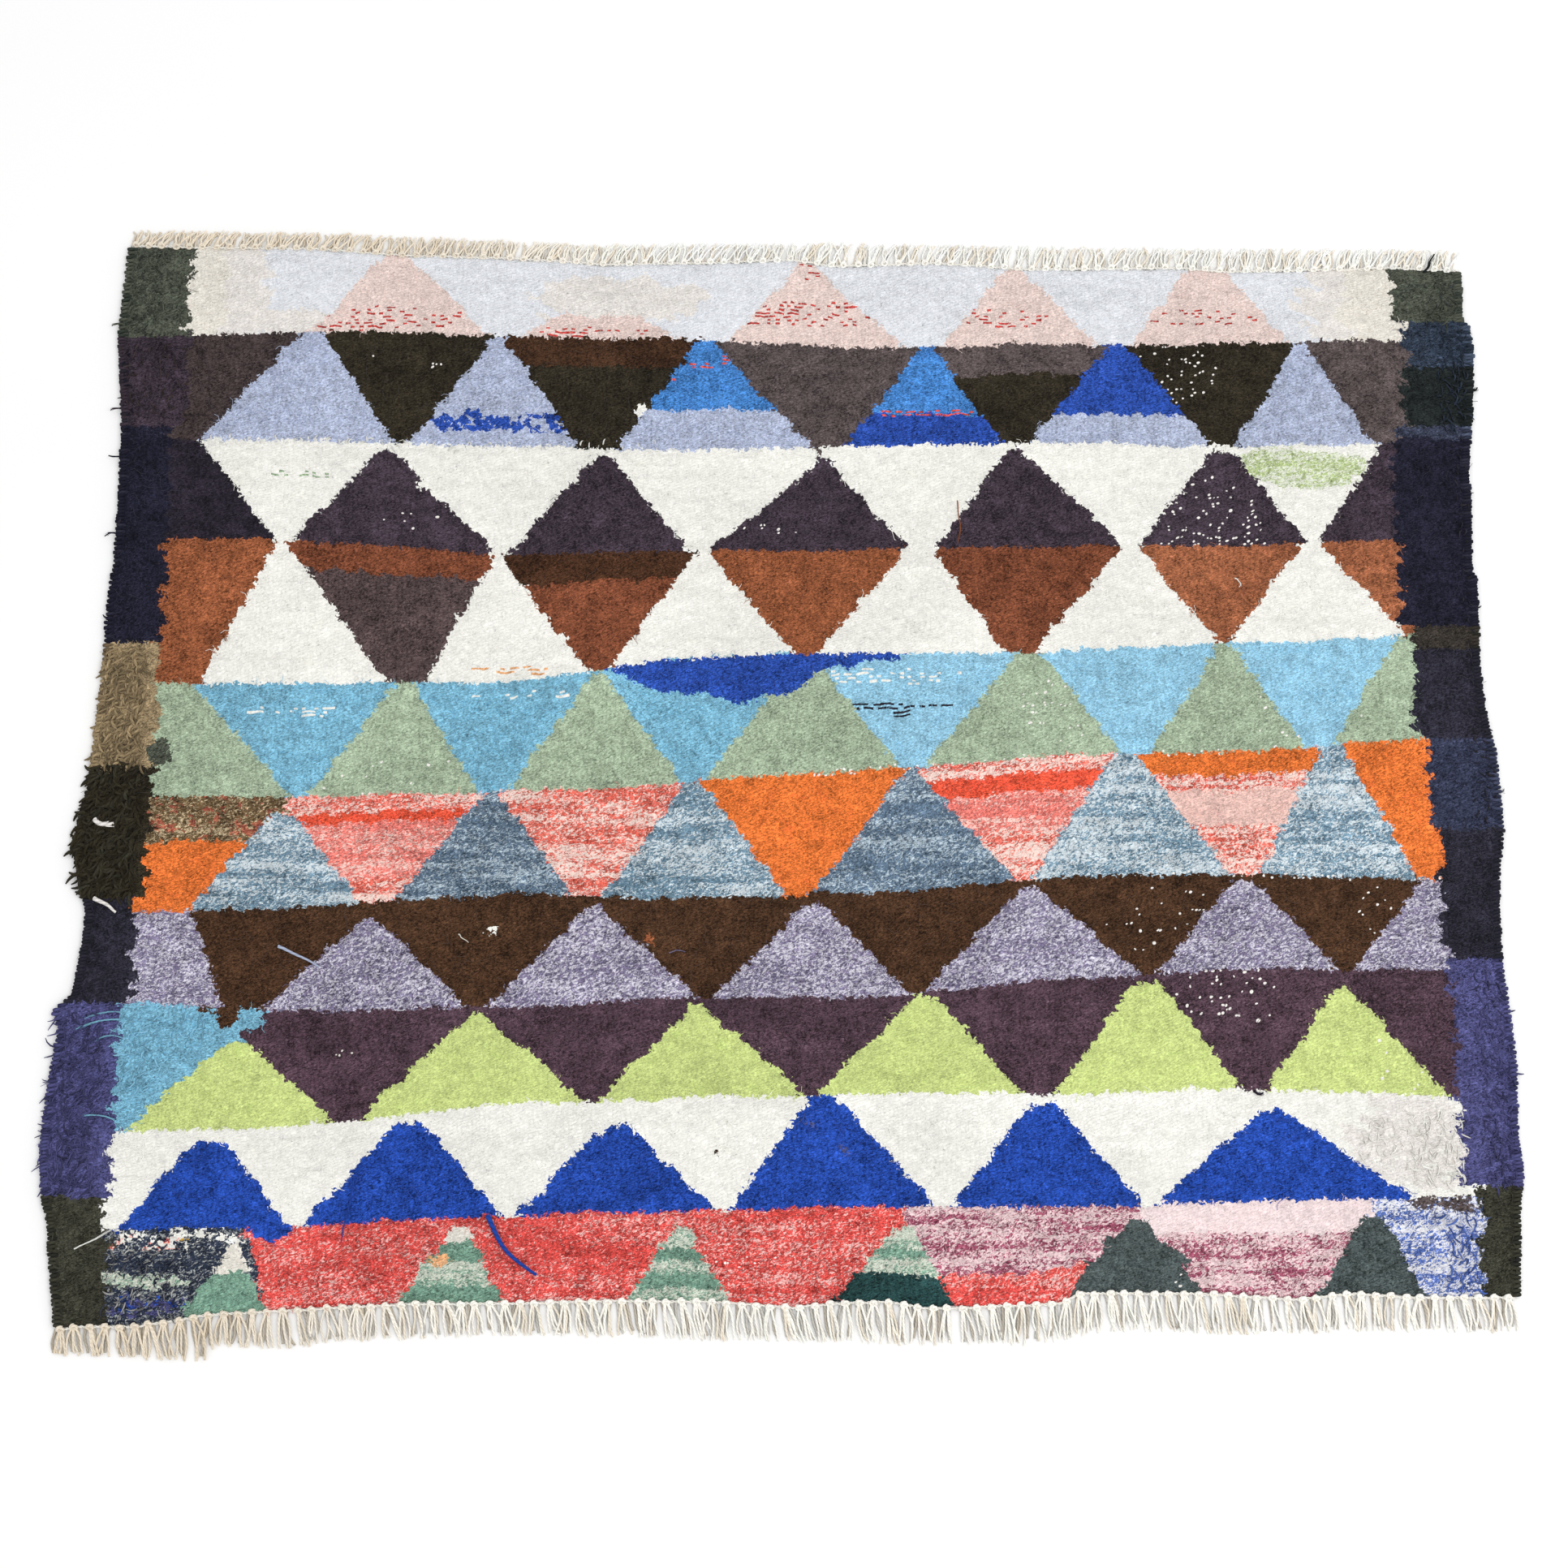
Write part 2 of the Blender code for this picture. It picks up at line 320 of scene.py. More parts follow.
MARKS = (
    Mark(-640, 545, 66, 90, 1.0, "pale_cream", "pale"),
    Mark(-665, 545, 42, 90, 1.0, "cream", "pale_cream"),
    Mark(-555, 508, 60, 14, 1.0, "pale_cream", "pale"),
    Mark(670, 525, 90, 90, 1.0, "pale_cream", "pale"),
    Mark(690, 525, 66, 90, 1.0, "cream", "pale_cream"),
    Mark(-190, 532, 95, 30, 1.0, "pale_cream", "pale"),
    Mark(26, 565, 16, 12, 0.40, "pink_red", None, "dash"),
    Mark(30, 517, 80, 16, 0.32, "pink_red", "pink", "dash"),
    Mark(-440, 512, 75, 14, 0.28, "pink_red", "pink", "dash"),
    Mark(-480, 502, 40, 7, 0.45, "pink_red", "pink", "dash"),
    Mark(-210, 494, 60, 6, 0.28, "pink_red", "pink", "dash"),
    Mark(240, 512, 60, 13, 0.30, "pink_red", "pink", "dash"),
    Mark(470, 512, 60, 10, 0.24, "pink_red", "pink", "dash"),
    Mark(-348, 389, 50, 11, 0.74, "royal", "lavender"),
    Mark(-278, 386, 52, 10, 0.66, "royal", "lavender"),
    Mark(-84, 458, 24, 8, 0.35, "red", "azure", "dash"),
    Mark(-124, 437, 14, 5, 0.50, "red", None, "dash"),
    Mark(155, 398, 62, 5, 0.50, "red", None, "dash"),
    Mark(-159, 401, 4, 9, 1.0, "white"),
    Mark(-459, 468, 3, 5, 1.0, "dot", None, "dot"),
    Mark(-387, 455, 7, 5, 0.6, "dot", None, "dot"),
    Mark(38, 352, 4, 10, 1.0, "taupe"),
    Mark(425, 445, 55, 36, 0.15, "dot", "umber", "dot"),
    Mark(-392, 314, 13, 4, 1.0, "white"),
    Mark(-378, 302, 13, 3, 1.0, "white"),
    Mark(-530, 328, 50, 4, 0.40, "green_dash", "white", "dash"),
    Mark(570, 335, 80, 22, 1.0, "green_white", "white"),
    Mark(472, 278, 55, 42, 0.15, "dot", "plum", "dot"),
    Mark(472, 247, 62, 8, 0.26, "dot", "plum", "dot"),
    Mark(-10, 268, 40, 14, 0.10, "dot", "plum", "dot"),
    Mark(-400, 274, 50, 12, 0.06, "dot", "plum", "dot"),
    Mark(-296, 105, 42, 5, 0.50, "orange_stain", "white", "dash"),
    Mark(115, 63, 60, 4, 0.70, "night", "sky_pale", "dash"),
    Mark(128, 58, 12, 5, 0.50, "night", "sky_pale", "dash"),
    Mark(110, 97, 85, 8, 0.30, "white", "sky_pale", "dash"),
    Mark(-519, 59, 55, 5, 0.40, "white", "sky", "dash"),
    Mark(-275, 77, 60, 4, 0.35, "white", "sky", "dash"),
    Mark(-440, -10, 90, 20, 0.05, "dot", "sage", "dot"),
    Mark(300, 60, 60, 40, 0.04, "dot", "sage", "dot"),
    Mark(560, 60, 60, 40, 0.04, "dot", "sage", "dot"),
    Mark(-667, 12, 13, 17, 1.0, "charcoal_green"),
    Mark(-600, -58, 90, 26, 0.22, "olive_red", "olive_mix"),
    Mark(-556, -268, 16, 20, 1.0, "sky", "plum_red"),
    Mark(-582, -264, 13, 20, 1.0, "brown", "sky"),
    Mark(-590, -258, 26, 9, 1.0, "brown", "sky"),
    Mark(-142, -188, 5, 6, 1.0, "rust", "brown"),
    Mark(-306, -178, 9, 3, 0.8, "white", "brown"),
    Mark(-453, -309, 14, 4, 0.5, "cream", "plum_red", "dot"),
    Mark(-71, -409, 4, 3, 1.0, "brown", "white"),
    Mark(410, -170, 70, 40, 0.07, "dot", "brown", "dot"),
    Mark(640, -170, 40, 40, 0.08, "dot", "brown", "dot"),
    Mark(462, -248, 46, 32, 0.14, "dot", "plum_red", "dot"),
    Mark(20, -245, 10, 8, 0.20, "dot", "plum_red", "dot"),
    Mark(650, -315, 40, 30, 0.05, "dot", "lime", "dot"),
    Mark(400, -560, 60, 40, 0.05, "dot", "green_grey", "dot"),
    Mark(-60, -520, 50, 12, 0.10, "dot", "red_mix", "dot"),
    Mark(29, -377, 12, 8, 0.45, "stain", "deep_royal"),
    Mark(60, -410, 9, 9, 0.4, "stain", "deep_royal"),
    Mark(-348, -518, 8, 6, 0.9, "orange_stain"),
    Mark(-635, -499, 90, 9, 0.42, "white", "marl"),
    Mark(-645, -501, 70, 7, 0.22, "coral", "white"),
    Mark(-650, -500, 60, 6, 0.10, "gold", "coral"),
    Mark(690, -462, 55, 9, 0.7, "taupe", "blue_white"),
    Mark(-660, -540, 50, 8, 0.8, "green_cream", "marl"),
    Mark(-655, -565, 55, 12, 0.6, "indigo", "marl"),
    Mark(-650, -563, 50, 8, 0.2, "deep_royal", "indigo"),
    Mark(-524, -491, 18, 10, 1.0, "deep_royal"),
    Mark(400, -518, 14, 10, 1.0, "green_grey", "burgundy_mix"),
    Mark(340, -503, 14, 9, 1.0, "green_grey", "burgundy_mix"),
    Mark(650, -400, 70, 50, 0.8, "pale_cream", "white"),
)

# Dots strung along a line, this far to each side of it: the line's number, from x, to x, their
# share, their yarn.
Seam = namedtuple("Seam", "line start end share yarn")

SEAM_REACH = 2.6

SEAMS = (
    Seam(5, -5, 550, 0.22, "dot"),
    Seam(2, -640, -435, 0.25, "dot"),
    Seam(6, 400, 700, 0.12, "dot"),
)

# Shaggy places: a box, how far apart its tufts are, how long they are, which way they lie in
# degrees from +X, their two yarns, and how many times as thick as a plain tuft they are.
Shag = namedtuple("Shag", "left right far near spacing length way yarn other thick", defaults=(1.0,))

SHAGS = (
    Shag(-764, -682, 132, 0, 4.6, 11, 240, "olive", "dark_olive", 1.8),
    Shag(-778, -684, 4, -140, 4.4, 14, 230, "dark_olive", "black_brown", 2.0),
    Shag(-752, -700, -150, -250, 9.0, 9, 235, "navy", "navy_black"),
    Shag(-770, -704, -258, -450, 6.5, 14, 235, "indigo", "navy"),
    Shag(-755, -705, -460, -575, 10.0, 9, 250, "black_brown", "charcoal_green"),
    Shag(-690, -590, -262, -290, 6.5, 11, 240, "sky", "sky_pale"),
    Shag(-690, -640, -290, -345, 6.5, 11, 240, "sky", "sky_pale"),
    Shag(-735, -690, 595, 495, 9.0, 9, 260, "charcoal_green", "navy_black"),
    Shag(-738, -712, 490, 140, 9.0, 7, 225, "navy_black", "plum_brown"),
    Shag(640, 700, -365, -440, 7.5, 11, 285, "white", "pale_cream"),
    Shag(590, 640, -365, -410, 8.0, 10, 285, "white", "pale_cream"),
    Shag(712, 762, 560, 505, 8.0, 10, 290, "charcoal_green", "navy_grey"),
    Shag(722, 766, 500, 380, 7.5, 10, 300, "navy_grey", "black_green"),
    Shag(735, 766, 375, -70, 9.0, 7, 300, "navy", "olive_black"),
    Shag(735, 768, -75, -210, 9.0, 7, 300, "navy", "navy_black"),
    Shag(720, 772, -215, -445, 7.5, 11, 295, "indigo", "navy"),
    Shag(735, 768, -450, -550, 10.0, 7, 290, "black_brown", "navy"),
    Shag(-690, -610, -495, -575, 9.0, 9, 250, "marl", "white"),
    Shag(675, 712, -470, -550, 8.0, 11, 270, "blue_white", "royal"),
    Shag(-735, -650, 488, 395, 10.0, 9, 255, "dark_taupe", "plum_brown"),
    Shag(-640, -440, 373, 362, 8.0, 7, 100, "white", "pale"),
    Shag(-435, -135, 366, 352, 11.0, 7, 100, "white", "pale"),
    Shag(-60, 150, -250, -256, 10.0, 7, 80, "white", "cream"),
)

# The royal blue cap that hangs from the fourth line: its lower edge, (x, y).
CAP_LINE = 4
CAP_EDGE = (
    (-196, 108), (-134, 80), (-69, 76), (-49, 68), (-25, 76), (17, 84), (36, 104), (72, 111),
    (128, 120),
)

# Yarn tails on the face and at the edges: (x, y) at the start, the middle and the end, thickness
# and yarn.
Tail = namedtuple("Tail", "start middle end thickness yarn")

TAILS = (
    Tail((-303, -474), (-290, -512), (-252, -534), 5.5, "deep_royal"),
    Tail((-531, -196), (-508, -205), (-486, -218), 3.4, "lavender"),
    Tail((189, 297), (194, 272), (190, 248), 1.4, "rust"),
    Tail((-724, -508), (-706, -500), (-684, -487), 1.6, "white"),
    Tail((-440, -435), (-447, -470), (-452, -502), 1.6, "deep_royal"),
    Tail((716, 566), (722, 574), (728, 588), 3.0, "black_green"),
    Tail((486, -347), (490, -353), (495, -349), 3.0, "night"),
    Tail((489, 208), (497, 205), (494, 198), 1.6, "white"),
    Tail((-690, -273), (-716, -272), (-738, -284), 2.0, "sky"),
    Tail((-686, -266), (-706, -262), (-728, -272), 1.6, "sky"),
    Tail((-688, -292), (-704, -286), (-716, -296), 1.6, "sky"),
    Tail((-690, -377), (-710, -369), (-728, -374), 1.8, "sky"),
    Tail((-120, -203), (-112, -198), (-104, -202), 1.4, "heather"),
    Tail((-342, -183), (-338, -187), (-331, -192), 1.4, "cream"),
    Tail((-732, -60), (-722, -69), (-710, -64), 6.0, "pale_cream"),
    Tail((-727, -145), (-715, -149), (-702, -160), 5.0, "pale_cream"),
    Tail((-733, 503), (-741, 506), (-748, 502), 2.2, "charcoal_green"),
    Tail((-727, 402), (-736, 406), (-744, 402), 2.2, "plum_brown"),
    Tail((-726, 349), (-734, 346), (-743, 349), 2.2, "navy_black"),
    Tail((-726, 258), (-734, 262), (-741, 256), 2.2, "navy_black"),
    Tail((756, 428), (764, 424), (768, 430), 3.0, "black_green"),
    Tail((758, -28), (764, -31), (768, -26), 1.4, "navy"),
)

# ------------------
# Settings that a user would change.


def linear(bytes_colour):
    """An sRGB byte colour as linear red, green and blue."""
    parts = []
    for byte in bytes_colour:
        value = byte / 255.0
        parts.append(value / 12.92 if value <= 0.04045 else ((value + 0.055) / 1.055) ** 2.4)
    return tuple(parts)


def colour_of(name, description, bytes_colour):
    """A property for a colour."""
    return bpy.props.FloatVectorProperty(
        name=name, description=description, default=linear(bytes_colour), min=0.0, max=1.0, size=3,
        subtype="COLOR",
    )


def length(name, description, default, low=0.0):
    """A property for a length in metres."""
    return bpy.props.FloatProperty(
        name=name, description=description, default=default, min=low, subtype="DISTANCE",
        unit="LENGTH", precision=4,
    )


class WeaveSettings(bpy.types.PropertyGroup):
    """Sizes of the woven cloth and of what stands off it."""

    thickness: length("Thickness", "Height of the cloth's face over the floor", 0.005)
    lie: length("Lie", "How far the face rises and falls where the cloth doesn't lie flat", 0.0012)
    wander: length("Wander", "How far the weft wanders off its straight rows and columns", 0.0016)
    relief: length("Relief", "Height of one grain of the weft", 0.0008)
    selvedge_yarn: length("Selvedge yarn", "Radius of the weft where it turns at an edge", 0.0021)
    fibre_length: length("Fibre length", "Length of a typical loose fibre", 0.014)
    fibre_radius: length("Fibre radius", "Radius of a loose fibre", 0.00022)
    fibre_density: bpy.props.FloatProperty(
        name="Fibre density", description="Loose fibres for each square metre", default=3600.0,
        min=0.0,
    )
    seed: bpy.props.IntProperty(
        name="Seed", description="Start of the cloth's random draws", default=7, min=0
    )


class FringeSettings(bpy.types.PropertyGroup):
    """Sizes of the knotted warp fringes and the twined cords beside them."""

    pitch: length("Pitch", "Distance between knots", 0.015, 0.005)
    strand: length("Strand", "Radius of one warp end", 0.00105)
    knot: length("Knot", "Radius of the knot's loop", 0.0024)
    cord: length("Cord", "Radius of one of the twined cord's two strands", 0.0008)
    turn: length("Turn", "Length of one turn of the twined cord", 0.0095, 0.002)
    strands: bpy.props.IntProperty(
        name="Strands", description="Warp ends that show in a bunch", default=4, min=2
    )
    colour: colour_of("Cotton", "Colour of the undyed warp", (252, 249, 241))
    shade: colour_of("Soiled cotton", "Colour of the warp where it is soiled", (222, 204, 176))


class StageSettings(bpy.types.PropertyGroup):
    """The light and the camera."""

    distance: length("Camera distance", "From the camera to the middle of the rug", 2.598)
    elevation: bpy.props.FloatProperty(
        name="Camera elevation", description="Angle of the view above the floor",
        default=math.radians(77.0), subtype="ANGLE", unit="ROTATION",
    )
    lens: bpy.props.FloatProperty(
        name="Lens", description="Focal length on a 36 mm sensor", default=55.9, min=1.0
    )
    sky: bpy.props.FloatProperty(
        name="Sky light", description="Strength of the even light all round", default=0.90, min=0.0
    )
    lamp: bpy.props.FloatProperty(
        name="Lamp", description="Power of the soft lamp, in watts", default=29.0, min=0.0
    )


def yarn_properties():
    """One ground and one fleck colour property for each yarn."""
    made = {}
    for name, yarn in YARNS.items():
        for part, colour in (("ground", yarn.ground), ("fleck", yarn.fleck)):
            label = f"{name} {part}".replace("_", " ").capitalize()
            description = f"The {part} colour of the {name.replace('_', ' ')} yarn"
            made[f"{name}_{part}"] = colour_of(label, description, colour)
    return made


YarnColours = type(
    "YarnColours",
    (bpy.types.PropertyGroup,),
    {"__doc__": "The colours of every yarn.", "__annotations__": yarn_properties()},
)

SETTINGS = (
    (WeaveSettings, "rug_weave"),
    (FringeSettings, "rug_fringe"),
    (YarnColours, "rug_yarns"),
    (StageSettings, "rug_stage"),
)

# ------------------
# Random draws and smooth noise that come out the same on every run.


def chance(first, second, seed):
    """An even draw from 0 to 1 for each pair of whole numbers."""
    first = np.asarray(np.floor(first), np.int64)
    second = np.asarray(np.floor(second), np.int64)
    with np.errstate(over="ignore"):
        mixed = first * 374761393 + second * 668265263 + np.int64(seed) * 144269504
        mixed = (mixed ^ (mixed >> 13)) * 1274126177
        mixed = (mixed ^ (mixed >> 15)) * 22695477
    mixed = mixed ^ (mixed >> 16)
    return (mixed & 0xFFFFFF) / float(0x1000000)


def drift(x, y, cell_x, cell_y, seed):
    """Smooth noise from -1 to 1, with cells of this size."""
    across, down = np.asarray(x) / cell_x, np.asarray(y) / cell_y
    column, row = np.floor(across), np.floor(down)
    s, t = across - column, down - row
    s = s * s * (3.0 - 2.0 * s)
    t = t * t * (3.0 - 2.0 * t)
    top = chance(column, row, seed) * (1.0 - s) + chance(column + 1, row, seed) * s
    low = chance(column, row + 1, seed) * (1.0 - s) + chance(column + 1, row + 1, seed) * s
    return (top * (1.0 - t) + low * t) * 2.0 - 1.0


def bell(first, second, seed):
    """A draw near 0 for each pair, mostly from -1 to 1."""
    total = sum(chance(first, second, seed + turn) for turn in range(3))
    return (total - 1.5) * 1.35


def draws(number, seed, count):
    """The first even draws from 0 to 1 of a numbered piece."""
    return [float(chance(number, turn, seed)) for turn in range(count)]


# ------------------
# The loom: where the warps and rows of the cloth run, in millimetres.

WARPS = 330
ROW_COUNTS = (23, 31, 30, 33, 30, 33, 26, 29, 27, 23)
ROW_STARTS = np.concatenate(([0.0], np.cumsum(ROW_COUNTS)))
PICKS = sum(ROW_COUNTS)
# The mean sides of the cloth, and how far in from them an edge's own wander reaches.
SIDE_LEFT = -745.0
SIDE_RIGHT = 754.0
EDGE_REACH = 45.0
# The CAD outline's corners past these are on its far, near, left and right edges.
FAR_CORNERS = 560
NEAR_CORNERS = -540
LEFT_CORNERS = -720
RIGHT_CORNERS = 740


def cad_outline(node):
    """The different (x, y) corners of a flat CAD node's outline, in millimetres."""
    for item in bpy.data.objects:
        if item.get("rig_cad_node") == node:
            corners = {(round(v.co.x / MM, 2), round(v.co.y / MM, 2)) for v in item.data.vertices}
            return sorted(corners)
    raise RuntimeError(f"the frame has no CAD node named {node}")


def cloth_edges():
    """The far and near ends as (x, y) and the left and right sides as (y, x), each sorted."""
    corners = cad_outline("rug_cloth")
    far = np.array([(x, y) for x, y in corners if y > FAR_CORNERS])
    near = np.array([(x, y) for x, y in corners if y < NEAR_CORNERS])
    left = np.array(sorted((y, x) for x, y in corners if x < LEFT_CORNERS))
    right = np.array(sorted((y, x) for x, y in corners if x > RIGHT_CORNERS))
    return far, near, left, right


def along(edge, at):
    """An edge's height at these places along it."""
    return np.interp(at, edge[:, 0], edge[:, 1])


def line_at(number, at):
    """The y at these x of a line between rows, counted from 1, with its corners eased."""
    line = LINES[number - 1]
    return sum(
        share * np.interp(at + shift, STATIONS, line)
        for share, shift in ((0.25, -35.0), (0.5, 0.0), (0.25, 35.0))
    )


def line_heights(x, edges):
    """The y of the far end, the nine lines and the near end at each x."""
    far, near = edges[0], edges[1]
    heights = [along(far, x) + 0.9 * drift(x, x * 0, 9.0, 1.0, 51)]
    for number in range(len(LINES)):
        heights.append(line_at(number + 1, x) + 1.4 * drift(x, x * 0, 70.0, 1.0, 40 + number))
    heights.append(along(near, x) + 0.9 * drift(x, x * 0, 9.0, 1.0, 52))
    return np.stack(heights, axis=-1)


def loom_points(warp, pick, edges):
    """The x and y where these warps and rows of weft cross. Both may be fractions."""
    warp, pick = np.broadcast_arrays(np.asarray(warp, float), np.asarray(pick, float))
    straight = SIDE_LEFT + (SIDE_RIGHT - SIDE_LEFT) * warp / WARPS
    straight = straight + 1.1 * drift(pick, warp * 0, 24.0, 1.0, 3)
    x = straight
    for _ in range(2):
        heights = line_heights(x, edges)
        strip = np.searchsorted(ROW_STARTS, pick, side="right") - 1
        strip = np.clip(strip, 0, len(ROW_COUNTS) - 1)
        upper = np.take_along_axis(heights, strip[..., None], -1)[..., 0]
        lower = np.take_along_axis(heights, strip[..., None] + 1, -1)[..., 0]
        share = (pick - ROW_STARTS[strip]) / (ROW_STARTS[strip + 1] - ROW_STARTS[strip])
        y = upper + (lower - upper) * share
        from_left = along(edges[2], y) - SIDE_LEFT
        from_right = along(edges[3], y) - SIDE_RIGHT
        near_left = np.exp(-(straight - SIDE_LEFT).clip(0) / EDGE_REACH)
        near_right = np.exp(-(SIDE_RIGHT - straight).clip(0) / EDGE_REACH)
        x = straight + from_left * near_left + from_right * near_right
    return x, y


# ------------------
# The chart: which yarn is woven at x, y.

YARN_NAMES = tuple(YARNS)
NUMBER = {name: index for index, name in enumerate(YARN_NAMES)}


def laid(fill, height):
    """The yarn numbers of a fill at these shares of the row's height."""
    if isinstance(fill, str):
        return np.full(height.shape, NUMBER[fill])
    names, steps = fill[0::2], fill[1::2]
    found = np.full(height.shape, NUMBER[names[-1]])
    for name, step in reversed(list(zip(names, steps))):
        found = np.where(height >= step, NUMBER[name], found)
    return found


def row_of_triangles(row, x, height):
    """The yarns of one row of triangles, at x and at a share of the row's height."""
    centres = [(up.apex_left + up.apex_right) / 2.0 for up in row.ups]
    gap = np.searchsorted(centres, x)
    found = np.zeros(x.shape, int)
    for index, fill in enumerate(row.downs):
        found = np.where(gap == index, laid(fill, height), found)
    for up in row.ups:
        rise = np.clip(height / up.reach, 0.0, 1.0)
        left = up.foot_left + (up.apex_left - up.foot_left) * rise
        right = up.foot_right + (up.apex_right - up.foot_right) * rise
        inside = (x > left) & (x < right) & (height < up.reach)
        found = np.where(inside, laid(up.fill, height), found)
    return found


def side_border(bands, outward, x, y, found):
    """The yarns with one side border woven over them, its inner edge stepped like a comb."""
    starts = np.array([band.y for band in bands], float)
    index = np.clip(np.searchsorted(-starts, -y, side="right") - 1, 0, len(bands) - 1)
    inner = np.array([band.inner for band in bands], float)[index]
    yarn = np.array([NUMBER[band.yarn] for band in bands])[index]
    depth = 6.5 * drift(y, y * 0, 5.5, 1.0, 61) + 3.0 * drift(y, y * 0, 26.0, 1.0, 62)
    depth = depth + 3.5 * (np.floor(y / 8.0) % 2)
    edge = inner - outward * depth
    return np.where((x - edge) * outward > 0, yarn, found)


def marked(x, y, draw, found):
    """The yarns with the blue cap and the patches woven over them, then the yarn of the dot or dash
    in each cell, or -1, and whether it is a dash."""
    cap_x, cap_y = zip(*CAP_EDGE)
    line = line_at(CAP_LINE, x)
    low = np.interp(x, cap_x, cap_y) + 2.0 * drift(x, x * 0, 18.0, 1.0, 71)
    inside = (x > cap_x[0]) & (x < cap_x[-1]) & (y < line) & (y > low)
    found = np.where(inside, NUMBER["royal"], found)
    over = np.full(found.shape, -1)
    dash = np.zeros(found.shape, bool)
    for mark in MARKS:
        reach = ((x - mark.x) / mark.half_x) ** 2 + ((y - mark.y) / mark.half_y) ** 2
        inside = (reach < 1.0 + 0.5 * drift(x, y, 17.0, 6.0, 75)) & (draw < mark.share)
        if mark.over:
            inside &= found == NUMBER[mark.over]
        if mark.kind == "patch":
            found = np.where(inside, NUMBER[mark.yarn], found)
        else:
            over = np.where(inside, NUMBER[mark.yarn], over)
            dash = np.where(inside, mark.kind == "dash", dash)
    for seam in SEAMS:
        off = np.abs(y - line_at(seam.line, x))
        inside = (x > seam.start) & (x < seam.end) & (off < SEAM_REACH) & (draw < seam.share)
        over = np.where(inside, NUMBER[seam.yarn], over)
        dash = dash & ~inside
    return found, over, dash


def weave_chart(x, y, edges):
    """The number of the yarn at each x, y, without the borders and the marks."""
    heights = line_heights(x, edges)
    found = np.zeros(x.shape, int)
    for index, row in enumerate(ROWS):
        top, bottom = heights[..., index], heights[..., index + 1]
        inside = (y <= top) & (y > bottom)
        if index == 0:
            inside |= y > top
        if index == len(ROWS) - 1:
            inside |= y <= bottom
        share = (y - bottom) / (top - bottom)
        found = np.where(inside, row_of_triangles(row, x, share), found)
    return found


# In place of a streak's strength, these say that a cell holds a dot or a dash.
DOT = 2.0
DASH = 3.0


def block_centres(pick, warp):
    """The warp and row at the middle of the two-by-two block that a cell is in, within its strip."""
    strip = np.searchsorted(ROW_STARTS, pick, side="right") - 1
    within = (pick - ROW_STARTS[strip]) // 2 * 2 + 1.0
    row = ROW_STARTS[strip] + np.minimum(within, np.array(ROW_COUNTS)[strip] - 0.5)
    return warp // 2 * 2 + 1.0, row


def joins(yarn):
    """For each cell the yarn most often beside it, and for each corner of each cell the share of
    the four cells there that hold the same yarn."""
    rows, columns = yarn.shape
    wide = np.pad(yarn, 1, mode="edge")

    def shifted(down, right):
        return wide[1 + down:1 + down + rows, 1 + right:1 + right + columns]

    beside = yarn.copy()
    for down, right in ((-1, -1), (-1, 1), (1, -1), (1, 1), (-1, 0), (1, 0), (0, -1), (0, 1)):
        near = shifted(down, right)
        beside = np.where(near != yarn, near, beside)
    shares = []
    for down, right in ((-1, -1), (1, -1), (1, 1), (-1, 1)):
        same = [shifted(*step) == yarn for step in ((down, 0), (0, right), (down, right))]
        shares.append((1.0 + sum(part.astype(float) for part in same)) / 4.0)
    return beside, np.stack(shares, -1)


def cell_yarns(seed, edges):
    """Where each cell is, its yarn, the yarn of the dot or dash in it, and whether it is a dash."""
    pick, warp = np.mgrid[0:PICKS, 0:WARPS]
    block_warp, block_row = block_centres(pick, warp)
    block_x, block_y = loom_points(block_warp, block_row, edges)
    x, y = loom_points(warp + 0.5, pick + 0.5, edges)
    pulled = 0.9 * bell(block_warp, block_row, seed) + 0.8 * bell(warp, pick, seed + 2)
    pulled = pulled + 1.6 * drift(x, y, 40.0, 16.0, seed + 5)
    bumps = 2.7 * drift(x, y, 8.5, 70.0, seed + 7)
    yarn = weave_chart(
        0.35 * block_x + 0.65 * x + pulled, 0.35 * block_y + 0.65 * y + bumps, edges
    )
    yarn = side_border(LEFT_BORDER, -1, x, y, yarn)
    yarn = side_border(RIGHT_BORDER, 1, x, y, yarn)
    return x, y, *marked(x, y, chance(warp, pick, seed + 20), yarn)


